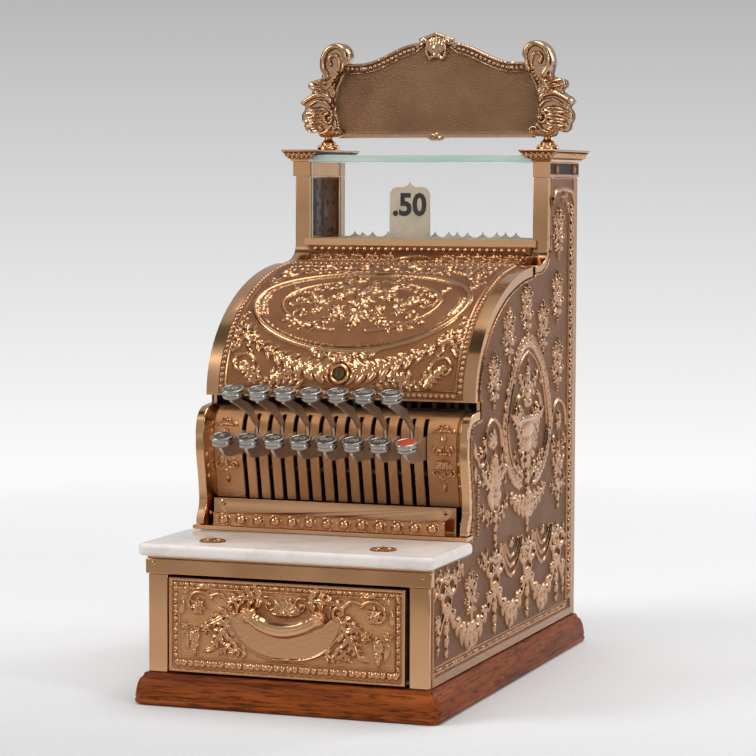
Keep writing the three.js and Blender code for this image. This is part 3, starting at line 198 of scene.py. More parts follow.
def cast_brass(name, dark, light, rubbed_code="#c6956c"):
    """Cast brass: the stored height of the relief turns its grainy dark ground into bright, faceted leaf."""
    material, tree, place = new_finish(name)
    height = add_node(tree, "Attribute", attribute_name="relief", out="Fac")
    rubbed = add_node(tree, "MapRange", height, FOOT_OF_LEAF, TOP_OF_LEAF)
    cloud = add_node(tree, "MapRange", noise(tree, place, 22, 3), 0.35, 0.65)
    grain = noise(tree, place, 900, 2, 0.7)
    chased = noise(tree, place, 380, 2, 0.6)
    ground = add_node(tree, "Mix", cloud, data_type="RGBA", i6=dark, i7=light, out=2)
    colour = add_node(tree, "Mix", rubbed, data_type="RGBA", i6=ground, i7=rubbed_code, out=2)
    dull = add_node(tree, "MapRange", grain, 0.3, 0.7, 0.34, 0.5)
    rough = add_node(tree, "Mix", rubbed, data_type="FLOAT", i2=dull, i3=0.16)
    lacquer = add_node(tree, "MapRange", height, FOOT_OF_LEAF, TOP_OF_LEAF, 0.0, 0.14)
    facets = add_node(tree, "Bump", Height=chased, Distance=0.00016, Strength=rubbed)
    skin = add_node(tree, "MapRange", height, 0.05, 0.4, 1.0, 0.12)
    normal = add_node(tree, "Bump", Height=grain, Distance=0.0011, Strength=skin, Normal=facets)
    shader = add_node(tree, "BsdfPrincipled", Base_Color=colour, Metallic=1.0, Roughness=rough, Normal=normal,
                      Coat_Weight=lacquer, Coat_Roughness=0.1)
    add_node(tree, "OutputMaterial", shader)
    return material


CAST = cast_brass("sand-cast brass with rubbed relief", "#7c5337", "#8d6242")
# Near-black brass for the cornice flare's sides and back and a sheet on the block's outer side: painted dark
# reflection.
PAINTED_DARK_REFLECTION = cast_brass("brass painted near black as dark reflection", "#1a0e09", "#28160f")
# The lock barrel: a darker, olive cast brass.
LOCK_CAST = cast_brass("darker olive brass of the lock", "#54401f", "#6c552d")
GREY_CAST = cast_brass("greyer cast brass of the sign", "#7b5c45", "#8c6c52", "#bd9a7a")
# A lighter copy of the cast brass for the key bank and the drawer front: painted bright reflection.
PAINTED_BRIGHT_CAST = cast_brass("stippled cast brass painted lighter as bright reflection", "#b68459", "#c7956a")
print("finishes:", BRASS.name, "/", CAST.name)

# %% [markdown]
# The key caps are nickel plated and the levers are plain steel that has gone a soft grey in the hand.
# Nickel is a yellowish white metal with fine radial rubbing. Steel is duller and shows broad grey clouds.

# %% Nickel and steel
def white_metal(name, low, high, least, most, grain):
    """White metal: clouds between two colours, and a roughness between two numbers in so fine a grain."""
    return surface(name, (60, 3), (grain, 2, 0.6), (0.35, 0.68, low, high), (FINE, 0.3, 0.7, least, most),
                   (0.00005, 0.4), Metallic=1.0)


NICKEL = white_metal("nickel plate", "#958f88", "#b0aaa3", 0.12, 0.2, 1200)
STEEL = white_metal("worn grey steel", "#c2b7ad", "#d2c8be", 0.36, 0.5, 1500)

# %% [markdown]
# The plinth is solid mahogany under shellac. Its pores are short dark dashes along the grain, the bands
# between early and late wood wander, and the film on top is glossy and slightly uneven. The grain runs
# along the length of each side, so the front rail uses x and the long sides use y.

# %% Wood finishes
ALONG_X, ALONG_Y = (0.09, 1.0, 1.0), (1.0, 0.09, 1.0)
MAHOGANY = ("#61290f", "#a85825", "#2a1007")


def timber(name, dark, light, pore, rough, stretch):
    """Timber: bands from dark to light and dashes of pore, both drawn out along the grain."""
    return surface(name, (85, 6, 0.7, stretch), (560, 3, 0.66, stretch), (0.32, 0.68, dark, light), rough,
                   (0.00008, 0.4), (0.5, 0.64, 0.72, pore), Specular_IOR_Level=0.08)


MAHOGANY_SIDE = timber("shellacked mahogany, grain front to back", *MAHOGANY, 0.42, ALONG_Y)
MAHOGANY_FRONT = timber("shellacked mahogany, grain across", *MAHOGANY, 0.42, ALONG_X)
TILL_WOOD = timber("plain oak of the till box", "#8a5e35", "#a5764a", "#5f3d20", 0.6, ALONG_Y)

# %% [markdown]
# The shelf is white statuary marble, polished on top, with faint grey clouds and a few thin veins. The
# veins are the zero line of a warped noise: a narrow ramp about its middle value.

# %% Marble
VEIN_HALF = 0.038


def statuary_marble():
    """Marble: white clouds, and a vein where a warped noise comes within VEIN_HALF of its middle value."""
    material, tree, place = new_finish("white statuary marble")
    cloud = noise(tree, place, 9, 5, 0.6)
    warp = noise(tree, place, 5, 6, 0.68)
    vein_low = add_node(tree, "MapRange", warp, 0.5 - VEIN_HALF, 0.5)
    vein_high = add_node(tree, "MapRange", warp, 0.5, 0.5 + VEIN_HALF, 1.0, 0.0)
    vein = add_node(tree, "Math", vein_low, vein_high, operation="MULTIPLY")
    share = add_node(tree, "MapRange", cloud, 0.3, 0.7)
    colour = add_node(tree, "Mix", share, data_type="RGBA", i6="#f1e8e2", i7="#e8ded7", out=2)
    share = add_node(tree, "MapRange", vein, 0.0, 1.0, 0.0, 0.26)
    colour = add_node(tree, "Mix", share, data_type="RGBA", i6=colour, i7="#bdb6b2", out=2)
    normal = add_node(tree, "Bump", Height=cloud, Distance=0.0002, Strength=0.1)
    shader = add_node(tree, "BsdfPrincipled", Base_Color=colour, Roughness=0.08, Normal=normal,
                      Subsurface_Weight=0.12, Subsurface_Scale=0.003)
    add_node(tree, "OutputMaterial", shader)
    return material


MARBLE = statuary_marble()

# %% [markdown]
# The tablets are sheet steel under a baked cream enamel that has yellowed and spotted; its cream is set
# lighter than it looks, partly its own colour and partly painted light for the shade of the glass. Their
# figures, the dark key tops and the red one are printed or stoved paint. The inside of the window case is
# japanned, a brown-black baked varnish. The slots of the screws and the keyhole are near-black solids:
# painted shade.

# %% Paint finishes
def paint(name, base, aged, rough, spots=0.62, spot_scale=260):
    """Paint: clouds from its first colour to its aged one, with specks of the aged one past a noise value."""
    return surface(name, (40, 4), (spot_scale, 3, 0.7), (0.35, 0.7, base, aged), rough, (0.00006, 0.3),
                   (spots, spots + 0.12, 0.55, aged))


# The cream is partly the enamel's own colour and partly painted light: it is set lighter for the shade that
# the glass panes cast.
ENAMEL = paint("aged cream enamel", "#ddd0b9", "#c6b598", 0.36)
FIGURE = paint("printed black figures", "#1b1a1b", "#2b2826", 0.5)
KEY_TOP = paint("grey key top", "#33312f", "#48453f", 0.24)
KEY_FIGURE = paint("worn key figures", "#a39d92", "#8b857b", 0.5)
RED_TOP = paint("red key top", "#b8330c", "#c8481c", 0.34)
CHEEK = paint("brown japanning", "#3a2b27", "#6d4a3d", 0.34, 0.5, 90)
# Near-black for the insides of screw slots and the keyhole: painted shade.
PAINTED_HOLE_SHADE = paint("painted shade of slots and keyholes", "#1a1614", "#2a2320", 0.7)

# %% [markdown]
# The glass is old plate. Seen square it is clear, and its long edges are green because the light that
# leaves them has crossed the whole sheet. The edges therefore get a finish of their own, paler and less
# clear. The faces' index is set low, so that reflections don't hide the tablets behind them.

# %% Glass finishes
EDGE_NOISE = (90, 3, 0.6, (0.2, 1, 1))
GLASS = surface("old plate glass", (18, 2), (18, 2), "#ffffff", 0.0, (0.0004, 0.02), IOR=1.13,
                Transmission_Weight=1.0)
GLASS_EDGE = surface("green edge of plate glass", EDGE_NOISE, EDGE_NOISE, (0.35, 0.65, "#c6e2d4", "#e0f0e7"),
                     0.12, (0.0001, 0.2), Transmission_Weight=0.35)
print("finishes in all:", len(bpy.data.materials))

# %% [markdown]
# The register stands on a pale sweep, as a photographer lays one. Close to it the sweep is pale paper that
# takes the shadow, painted darker towards the front and lighter behind as painted shade. Further off it
# fades, for the camera, glass and metal, into the same soft grey gradient that the world shows: white low
# down and light grey above. Dark cards stand outside the picture and a grey one lies in front. They give the
# polished brass something dark to mirror, which is what makes metal look like metal.

# %% Sweep, world, lamps and cards
def backdrop_colour(tree, rise):
    """White low down and light grey above: rise is the sine of the angle over the photographer's horizon."""
    share = add_node(tree, "MapRange", rise, -0.1, 0.068)
    return add_node(tree, "Mix", share, data_type="RGBA", i6="#fafafa", i7="#b7b7b8", out=2)


def seen_directly(tree):
    """1 for what the camera, a mirror or a sheet of glass looks at, 0 for light that spreads."""
    rays = add_node(tree, "LightPath").node.outputs
    first = add_node(tree, "Math", rays["Is Camera Ray"], rays["Is Glossy Ray"], operation="MAXIMUM")
    return add_node(tree, "Math", first, rays["Is Transmission Ray"], operation="MAXIMUM")


def build_world():
    """A plain white fill of FILL_STRENGTH for the light that spreads, and the backdrop for whatever looks."""
    world = bpy.data.worlds.new("studio")
    bpy.context.scene.world = world
    world.use_nodes = True
    tree = world.node_tree
    tree.nodes.clear()
    rise = add_node(tree, "SeparateXYZ", add_node(tree, "TexCoord", out="Generated"), out="Z")
    shown = add_node(tree, "Background", backdrop_colour(tree, rise), 1.0)
    fill = add_node(tree, "Background", "#ffffff", FILL_STRENGTH)
    add_node(tree, "OutputWorld", add_node(tree, "MixShader", seen_directly(tree), fill, shown))


def plain_mesh(name, points, faces, material):
    """A mesh object from metre points and faces for the studio, attached to no body of the register."""
    mesh = bpy.data.meshes.new(name)
    mesh.from_pydata(np.asarray(points).tolist(), [], faces)
    mesh.materials.append(material)
    thing = bpy.data.objects.new(name, mesh)
    bpy.context.collection.objects.link(thing)
    return thing


def build_sweep():
    """A round floor of paper: SWEEP_RINGS are its rings' radii in metres, closed by a disc in the middle."""
    material, tree, place = new_finish("pale paper sweep")
    far = add_node(tree, "VectorMath", place, operation="LENGTH", out="Value")
    sight = add_node(tree, "VectorMath", place, CAMERA_PLACE, operation="SUBTRACT")
    sight = add_node(tree, "VectorMath", sight, operation="NORMALIZE")
    rise = add_node(tree, "SeparateXYZ", sight, out="Z")
    shown = add_node(tree, "Emission", backdrop_colour(tree, rise), 1.0)
    # Painted shade: the paper is darker towards the front and lighter behind.
    share = add_node(tree, "MapRange", add_node(tree, "SeparateXYZ", place, out="Y"), -0.4, 0.15)
    paper = add_node(tree, "Mix", share, data_type="RGBA", i6="#d5d5d6", i7="#f2f2f3", out=2)
    fibre = add_node(tree, "MapRange", noise(tree, place, 220, 3), 0.4, 0.9, 0.0, 0.2)
    paper = add_node(tree, "Mix", fibre, data_type="RGBA", i6=paper, i7="#ffffff", out=2)
    shader = add_node(tree, "BsdfPrincipled", Base_Color=paper, Roughness=0.9)
    fade = add_node(tree, "MapRange", far, 0.55, 1.5)
    fade = add_node(tree, "Math", fade, seen_directly(tree), operation="MULTIPLY")
    add_node(tree, "OutputMaterial", add_node(tree, "MixShader", fade, shader, shown))
    n = SWEEP_STEPS
    angles = np.linspace(0, 2 * np.pi, n + 1)[:-1]
    rings = [np.stack([r * np.cos(angles), r * np.sin(angles), 0 * angles], 1) for r in SWEEP_RINGS]
    faces = [[n * k + i, n * (k + 1) + i, n * (k + 1) + (i + 1) % n, n * k + (i + 1) % n]
             for k in range(len(rings) - 1) for i in range(n)]
    plain_mesh("sweep", np.concatenate(rings), faces + [list(range(n))], material)


def softbox(name, place, width, height, watts):
    """A lamp of so many metres and watts that looks at the middle of the register."""
    lamp = bpy.data.lights.new(name, "AREA")
    lamp.shape = "RECTANGLE"
    lamp.size, lamp.size_y, lamp.energy = width, height, watts
    holder = bpy.data.objects.new(name, lamp)
    holder.location = place
    holder.rotation_euler = (MIDDLE - Vector(place)).to_track_quat("-Z", "Y").to_euler()
    bpy.context.collection.objects.link(holder)


def dark_card(name, centre, across, up, low="#1a1715", high="#26211e"):
    """A card that only mirrors and glossy metal see: its middle, and half its width and height as arrows."""
    material, tree, place = new_finish("card " + name)
    colour = add_node(tree, "Mix", noise(tree, place, 3, 2), data_type="RGBA", i6=low, i7=high, out=2)
    add_node(tree, "OutputMaterial", add_node(tree, "BsdfPrincipled", Base_Color=colour, Roughness=0.9))
    centre, across, up = (np.array(v, float) for v in (centre, across, up))
    corners = [centre - across - up, centre + across - up, centre + across + up, centre - across + up]
    card = plain_mesh(name, corners, [[0, 1, 2, 3]], material)
    card.visible_camera = card.visible_transmission = card.visible_diffuse = card.visible_shadow = False


FILL_STRENGTH = 0.34
SWEEP_STEPS = 64
SWEEP_RINGS = (1.0, 3.0, 9.0, 28.0)
MIDDLE = Vector((0.0, 0.0, 0.24))
bpy.context.scene.view_settings.view_transform = "Standard"
build_world()
build_sweep()
softbox("key_softbox", (-2.3, -1.7, 2.0), 1.5, 1.5, 46)
softbox("overhead_softbox", (0.2, 0.0, 2.4), 1.9, 1.4, 30)
softbox("right_strip", (2.4, -1.3, 1.2), 0.35, 1.5, 16)
softbox("back_strip", (1.4, 2.2, 1.4), 0.4, 1.4, 12)
dark_card("right_card", (3.2, 0.2, 1.0), (0.0, 2.2, 0.0), (0.0, 0.0, 1.3))
dark_card("floor_card", (-0.6, -1.7, 0.004), (2.6, 0.0, 0.0), (0.0, 1.0, 0.0), "#8b8782", "#9a9690")
dark_card("left_card", (-3.2, 0.6, 1.0), (0.0, 1.6, 0.0), (0.0, 0.0, 1.2))
dark_card("upper_card", (-0.62, -0.45, 2.0), (0.5, 0.0, 0.0), (0.0, 0.45, 0.05), "#4a4643", "#58534f")
print("lamps and sweep in place")

# %% [markdown]
# Pieces whose solid already has the right shape keep it. A sheet of cut or cast brass never has a knife
# edge, though: a file and the buffing wheel take a few tenths of a millimetre off. This maker copies a
# solid's mesh, joins its doubled corners, melts its flat triangles together and rounds each sharp edge
# with a small bevel.

# %% Maker of eased solids
def settle(piece, finish, body="cabinet", slot="cast_brass", *nodes):
    """Give a piece its finish and the body it moves with, and hide the solids it stands for; the slot is not
    used.
    """
    piece.data.materials.clear()
    piece.data.materials.append(finish)
    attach(piece, body)
    if nodes:
        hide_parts(*nodes)
    return piece


def smooth_by_angle(mesh, degrees):
    """Shade smooth, and keep an edge crisp where its two faces turn by more than the angle."""
    mesh.shade_smooth()
    mesh.set_sharp_from_angle(angle=math.radians(degrees))


EASED_ANGLE = 32


def eased(node, name, width=0.35, press=None):
    """A solid's mesh with its sharp edges rounded to the given width in millimetres.

    press moves the solid's coarse ornament back into the face, where a finely drawn sheet takes its place.
    """
    mesh = bpy.data.objects[node].data.copy()
    mesh.name = name
    if press:
        mesh.vertices.foreach_set("co", to_frame(press(mesh_places(mesh))).ravel())
    work = bmesh.new()
    work.from_mesh(mesh)
    bmesh.ops.remove_doubles(work, verts=work.verts, dist=0.00002)
    bmesh.ops.dissolve_limit(work, angle_limit=math.radians(0.6), verts=work.verts, edges=work.edges)
    bmesh.ops.recalc_face_normals(work, faces=work.faces)
    work.to_mesh(mesh)
    work.free()
    piece = bpy.data.objects.new(name, mesh)
    bpy.context.collection.objects.link(piece)
    rounding = piece.modifiers.new("eased edges", "BEVEL")
    rounding.width = width * MM
    rounding.segments = 2
    rounding.limit_method = "ANGLE"
    rounding.angle_limit = math.radians(EASED_ANGLE)
    smooth_by_angle(mesh, EASED_ANGLE + 2)
    return piece


EASED = (
    (BRASS, "cabinet", "polished_brass", 0.6,
     ("front_pilaster_left", "front_pilaster_right", "front_lintel")),
    (BRASS, "cabinet", "polished_brass", 0.5, ("window_post_left", "window_post_right")),
    (BRASS, "cabinet", "polished_brass", 0.8, ("key_frame_left", "key_frame_right")),
    (BRASS, "cabinet", "cast_brass", 0.4, ("window_apron", "rear_cover")),
    (PAINTED_BRIGHT_CAST, "cabinet", "cast_brass", 0.25, ("keycheck_plate",)),
    (STEEL, "cabinet", "steel", 0.3, ("drawer_rails",)),
    (STEEL, "cabinet", "steel", 0.2, ("tablet_rack",)),
    (TILL_WOOD, "drawer", "drawer_wood", 0.5, ("drawer_box",)),
)
for finish, body, slot, width, nodes in EASED:
    for node in nodes:
        settle(eased(node, node + "_eased", width), finish, body, slot, node)
        print("eased", node)

# %% [markdown]
# The ornament on a cast panel is low relief: leaves, scrolls, beads and garlands that stand one or two
# millimetres over a sunk ground. The founder's pattern maker carved it once in wood and pressed it in
# sand. Here a relief is drawn the same way, as a height over a flat sheet. Each tool mark is a small
# formula, such as half an ellipsoid for a bead, and a mark only ever raises the sheet, so overlapping
# leaves meet in a crease. Real carving could be sculpted by hand instead, but formulas keep every leaf
# editable by its numbers.

# %% Relief drawing
def direction(degrees):
    """(cos, sin) of an angle."""
    return np.array([math.cos(math.radians(degrees)), math.sin(math.radians(degrees))])


def curve(points, per_span=8):
    """A smooth line through places (Catmull-Rom): its slope at a place is half the step around it."""
    p = np.asarray(points, float)
    p = np.vstack([2 * p[0] - p[1], p, 2 * p[-1] - p[-2]])
    t = np.linspace(0, 1, per_span, endpoint=False)[:, None]
    spans = [0.5 * (2 * b + (c - a) * t + (2 * a - 5 * b + 4 * c - d) * t ** 2
                    + (3 * b - a - 3 * c + d) * t ** 3)
             for a, b, c, d in zip(p[:-3], p[1:-2], p[2:-1], p[3:])]
    return np.vstack(spans + [p[-2:-1]])


def walk(line, pitch):
    """Even steps along a line: the middle of each step, its heading in degrees and its share of the way."""
    line = np.asarray(line, float)
    steps = np.hypot(*np.diff(line, axis=0).T)
    along = np.concatenate([[0], np.cumsum(steps)])
    count = max(1, int(round(along[-1] / pitch)))
    for k in range(count):
        s = (k + 0.5) * along[-1] / count
        i = int(np.clip(np.searchsorted(along, s) - 1, 0, len(steps) - 1))
        run = line[i + 1] - line[i]
        place = line[i] + run * (s - along[i]) / max(steps[i], 1e-9)
        yield place, math.degrees(math.atan2(run[1], run[0])), s / along[-1]


class Relief:
    """Heights in millimetres over a sheet whose own axes are u and v, also in millimetres."""

    def __init__(self, u0, u1, v0, v1, cell):
        self.u = np.linspace(u0, u1, int(round((u1 - u0) / cell)) + 1)
        self.v = np.linspace(v0, v1, int(round((v1 - v0) / cell)) + 1)
        self.h = np.zeros((len(self.u), len(self.v)))

    def patch(self, u, v, reach):
        """The cells within reach of a point, with their offsets from it."""
        i = slice(*np.searchsorted(self.u, (u - reach, u + reach)))
        j = slice(*np.searchsorted(self.v, (v - reach, v + reach)))
        return (i, j), self.u[i, None] - u, self.v[None, j] - v

    def patch_along(self, u, v, reach, degrees):
        """The same cells with offsets along and across a direction."""
        where, du, dv = self.patch(u, v, reach)
        c, s = direction(degrees)
        return where, du * c + dv * s, dv * c - du * s

    def raise_to(self, where, height):
        """A mark only ever raises the sheet."""
        self.h[where] = np.maximum(self.h[where], height)

    def dome(self, u, v, long, wide, height, degrees=0.0):
        """Half an ellipsoid: height * sqrt(1 - (p / long)^2 - (q / wide)^2)."""
        where, p, q = self.patch_along(u, v, max(long, wide), degrees)
        self.raise_to(where, height * np.sqrt(np.clip(1 - (p / long) ** 2 - (q / wide) ** 2, 0, None)))

    def leaf(self, u, v, degrees, long, wide, height):
        """A leaf from its root: its half width follows sin(pi t^0.8), it is round across and veined."""
        where, p, q = self.patch_along(u, v, long, degrees)
        t = np.clip(p / long, 0, 1)
        half = 0.5 * wide * np.sin(np.pi * t ** 0.8) ** 0.9 + 1e-6
        body = height * (0.5 + 0.5 * np.sin(np.pi * t)) * np.sqrt(np.clip(1 - (q / half) ** 2, 0, None))
        vein = 1 - 0.38 * np.exp(-((q / (0.13 * wide)) ** 2))
        self.raise_to(where, np.where((p > 0) & (p < long), body * vein, 0))

    def ridge(self, line, start, end, height):
        """A round ridge along a line whose half width runs evenly from start to end."""
        line = np.asarray(line, float)
        halves = np.linspace(start, end, len(line))
        for a, b, wa, wb in zip(line[:-1], line[1:], halves[:-1], halves[1:]):
            centre, run = (a + b) / 2, b - a
            length = max(float(run @ run), 1e-9)
            where, du, dv = self.patch(*centre, math.sqrt(length) / 2 + max(wa, wb))
            ru, rv = du + centre[0] - a[0], dv + centre[1] - a[1]
            t = np.clip((ru * run[0] + rv * run[1]) / length, 0, 1)
            off = np.hypot(ru - t * run[0], rv - t * run[1])
            half = wa + (wb - wa) * t
            round_top = np.sqrt(np.clip(1 - (off / half) ** 2, 0, None))
            self.raise_to(where, height * (half / max(start, end)) ** 0.6 * round_top)

    def spiral(self, u, v, radius, start, turns, half, height, hand=1):
        """A scroll that winds in: r = radius * (1 - 0.85 t), with a bead in its eye."""
        t = np.linspace(0, 1, int(26 * turns) + 8)
        angle = np.radians(start + hand * 360 * turns * t)
        r = radius * (1 - 0.85 * t)
        self.ridge(np.stack([u + r * np.cos(angle), v + r * np.sin(angle)], 1), half, half * 0.55, height)
        self.dome(u, v, radius * 0.27, radius * 0.27, height * 1.15)

    def oval(self, u, v, ru, rv, half, height):
        """A ring on (x / ru)^2 + (y / rv)^2 = 1."""
        t = np.linspace(0, 2 * np.pi, 97)
        self.ridge(np.stack([u + ru * np.cos(t), v + rv * np.sin(t)], 1), half, half, height)

    def rosette(self, u, v, radius, petals, height, turn=90.0):
        """Petals round a button."""
        for k in range(petals):
            self.leaf(u, v, turn + 360 * k / petals, radius, radius * 3.4 / petals, height)
        self.dome(u, v, radius * 0.28, radius * 0.28, height * 1.3)

    def acanthus(self, u, v, degrees, long, wide, height, lobes=4):
        """A big leaf: pairs of lobes along a spine, wide at the root and closing towards the tip."""
        run = direction(degrees)
        for k in range(lobes):
            t = k / lobes
            root = np.array([u, v]) + run * long * t * 0.78
            size = wide * (0.95 - 0.5 * t)
            for hand in (-1, 1):
                self.leaf(*root, degrees + hand * (62 - 26 * t), size, size * 0.5, height * (1 - 0.2 * t))
        self.leaf(u, v, degrees, long, wide * 0.42, height * 1.1)

    def husks(self, u, v, degrees, long, wide, height, count):
        """A drop of bell flowers, each smaller than the one before."""
        run = direction(degrees)
        sizes = np.linspace(1, 0.5, count)
        places = np.concatenate([[0], np.cumsum(sizes)[:-1]]) / sizes.sum() * long
        for size, place in zip(sizes, places):
            root = np.array([u, v]) + run * place
            step = long * size / sizes.sum()
            for swing, share in ((0, 1.25), (34, 0.95), (-34, 0.95), (72, 0.6), (-72, 0.6)):
                self.leaf(*root, degrees + swing, step * share, wide * size * 0.42, height)
            self.dome(*root, wide * 0.15 * size, wide * 0.15 * size, height * 1.2)

    def palmette(self, u, v, degrees, radius, height, count=7, spread=150.0):
        """A fan of leaves, the outer ones shorter."""
        for k in range(count):
            swing = (k / (count - 1) - 0.5) * spread
            self.leaf(u, v, degrees + swing, radius * (1 - 0.25 * abs(swing) / spread), radius * 0.36, height)
        self.dome(u, v, radius * 0.2, radius * 0.2, height * 1.1)

    def swag(self, first, last, sag, wide, height):
        """A garland on the curve of a hanging chain, drawn as leaves over fruit, thickest in the middle."""
        first, last = np.array(first, float), np.array(last, float)
        count = max(5, int(np.hypot(*(last - first)) / (wide * 0.62)) + 2)
        t = np.linspace(0.02, 0.98, count)
        line = first + (last - first) * t[:, None] - np.array([0, 4 * sag]) * (t * (1 - t))[:, None]
        slope = np.degrees(np.arctan2(*np.gradient(line, axis=0).T[::-1]))
        for place, heading, share in zip(line, slope, t):
            size = wide * (0.55 + 0.45 * math.sin(math.pi * share))
            towards = heading if share > 0.5 else heading + 180
            for swing in (-42, 42, 0):
                self.leaf(*place, towards + 180 + swing, size * 1.05, size * 0.5, height)
            self.dome(*place, size * 0.26, size * 0.26, height * 1.25)

    def bow(self, u, v, size, height, tails=1.6):
        """A ribbon knot: two loops, two waving ends."""
        for hand in (-1, 1):
            t = np.linspace(0, 2 * np.pi, 22)
            loop = np.stack([u + hand * size * 0.55 * (1 - np.cos(t)), v + size * 0.34 * np.sin(t)], 1)
            self.ridge(loop, size * 0.13, size * 0.13, height)
            s = np.linspace(0, 1, 12)
            wave = size * (0.25 + 0.5 * s) + size * 0.16 * np.sin(2.4 * np.pi * s)
            self.ridge(np.stack([u + hand * wave, v - size * tails * s], 1), size * 0.11, size * 0.17, height)
        self.dome(u, v, size * 0.2, size * 0.24, height * 1.3)

    def sprig(self, u, v, wide, tall, height):
        """An upright spray: a flower, wide leaf pairs above and below it, and a chain of buds at each end."""
        self.rosette(u, v, wide * 0.18, 6, height * 1.15)
        tiers = ((0.1, 16, 0.44), (-0.09, -12, 0.44), (0.19, 46, 0.27), (-0.19, -44, 0.27), (0.02, 4, 0.3))
        for hand in (-1, 1):
            for lift, swing, size in tiers:
                heading = 90 - hand * (90 - swing)
                root = (u + hand * wide * 0.04, v + lift * tall)
                self.leaf(*root, heading, wide * size, wide * 0.15, height)
                for reach, bud in ((0.94, 0.07), (0.55, 0.05)):
                    place = np.array(root) + direction(heading + hand * 16) * wide * size * reach
                    self.dome(*place, wide * bud, wide * bud, height)
            self.leaf(u, v, 90 - hand * 90, wide * 0.4, wide * 0.13, height)
        for end in (-1, 1):
            for share, size in ((0.24, 0.075), (0.32, 0.06), (0.385, 0.048), (0.44, 0.04)):
                self.dome(u, v + end * share * tall, wide * size, wide * size * 1.2, height)
            self.leaf(u, v + end * tall * 0.1, 90 * end, tall * 0.2, wide * 0.14, height)

    def beads(self, line, pitch, radius, height, reels=False):
        """Beads along a line at an even pitch, with a pair of thin reels between them if asked."""
        for place, heading, _ in walk(line, pitch):
            self.dome(*place, radius, radius, height)
            if reels:
                for shift in (0.36, 0.64):
                    self.dome(*(place + direction(heading) * pitch * shift), pitch * 0.1, radius * 0.95,
                              height * 0.8, heading)

    def tongues(self, line, pitch, long, wide, height):
        """A row of small leaves that stand across the line, with a dart between each two."""
        for place, heading, _ in walk(line, pitch):
            self.dome(*place, wide / 2, long / 2, height, heading)
            self.dome(*(place + direction(heading) * pitch / 2), wide / 8, long / 2.6, height * 0.7, heading)

    def vine(self, places, size, height):
        """A stem through places with leaves left and right in turn, smaller towards its end."""
        line = curve(places)
        self.ridge(line, 0.8, 0.4, height * 0.8)
        for k, (place, heading, share) in enumerate(walk(line, size * 0.42)):
            hand = 1 if k % 2 else -1
            self.leaf(*place, heading + hand * 48, size * (1 - 0.35 * share), size * 0.46, height)

    def wreath(self, line, size, height):
        """Laurel: pairs of leaves that point along the line over a middle rib."""
        for place, heading, _ in walk(line, size * 0.5):
            for hand in (-1, 1):
                self.leaf(*place, heading + hand * 26, size, size * 0.42, height)
        self.ridge(line, size * 0.1, size * 0.1, height * 1.05)

    def plate(self, outline, height, rim=0.0, rim_height=0.0):
        """A smooth flat plate inside a closed outline, with a rounded rim along it."""
        u, v = np.meshgrid(self.u, self.v, indexing="ij")
        depth = inside_distance(u, v, np.asarray(outline, float))[0]
        self.h[depth > 0] = height
        if rim:
            self.ridge(np.vstack([outline, outline[:1]]), rim, rim, rim_height)

    def cup(self, u, v, radius):
        """Clear a round place for a fitting that stands there."""
        where, du, dv = self.patch(u, v, radius)
        self.h[where] = np.where(np.hypot(du, dv) < radius, 0, self.h[where])

    def mirror(self):
        """Copy the right half of the drawing to the left."""
        self.h = np.maximum(self.h, self.h[::-1])

    def draw(self, marks):
        """Draw a table: under the name of a mark stand the numbers of every place where it is used."""
        for kind, rows in marks.items():
            for numbers in rows:
                getattr(self, kind)(*numbers)


print("relief tools:", sum(callable(value) for value in vars(Relief).values()))

# %% [markdown]
# A drawn relief becomes a closed shell. The sheet's cells are trimmed to the outline of the solid that
# carries it, and the points along the trim are pulled onto the outline so that the border is a clean
# curve. A wall goes down from the border into the solid, and one face closes the back where nobody sees
# it.

# %% Maker of relief shells
def chained(follow):
    """Loops of point numbers: each number is followed by the one that the table gives for it."""
    loops = []
    while follow:
        here = next(iter(follow))
        line = []
        while here in follow:
            line.append(here)
            here = follow.pop(here)
        loops.append(line)
    return loops


def flat_outline(node, axis, side):
    """Outline of a solid's largest flat face that looks along an axis: corner places in millimetres."""
    work = bmesh.new()
    work.from_mesh(bpy.data.objects[node].data)
    bmesh.ops.remove_doubles(work, verts=work.verts, dist=0.00002)
    planes = {}
    for face in work.faces:
        if face.normal[axis] * side > 0.999:
            planes.setdefault(round(face.calc_center_median()[axis], 5), []).append(face)
    chosen = max(planes.values(), key=lambda group: sum(face.calc_area() for face in group))
    keep = set(chosen)
    follow, places = {}, {}
    for face in chosen:
        for loop in face.loops:
            if not any(other in keep for other in loop.edge.link_faces if other is not face):
                follow[loop.vert.index] = loop.link_loop_next.vert.index
                places[loop.vert.index] = tuple(loop.vert.co)
    work.free()
    loops = [from_frame([places[i] for i in line]) for line in chained(follow)]
    return max(loops, key=lambda line: np.hypot(*np.ptp(np.delete(line, axis, 1), axis=0)))


def inside_distance(u, v, outline):
    """How far each point is inside a closed outline, and the nearest point on it: distance to each side."""
    best = np.full(u.shape, np.inf)
    near_u, near_v = np.zeros(u.shape), np.zeros(u.shape)
    inside = np.zeros(u.shape, bool)
    for (au, av), (bu, bv) in zip(outline, np.roll(outline, -1, axis=0)):
        run_u, run_v = bu - au, bv - av
        length = max(run_u ** 2 + run_v ** 2, 1e-12)
        t = np.clip(((u - au) * run_u + (v - av) * run_v) / length, 0, 1)
        pu, pv = au + t * run_u, av + t * run_v
        off = np.hypot(u - pu, v - pv)
        closer = off < best
        best[closer], near_u[closer], near_v[closer] = off[closer], pu[closer], pv[closer]
        if bv != av:
            crosses = ((av > v) != (bv > v)) & (u < (bu - au) * (v - av) / (bv - av) + au)
            inside ^= crosses
    return np.where(inside, best, -best), near_u, near_v


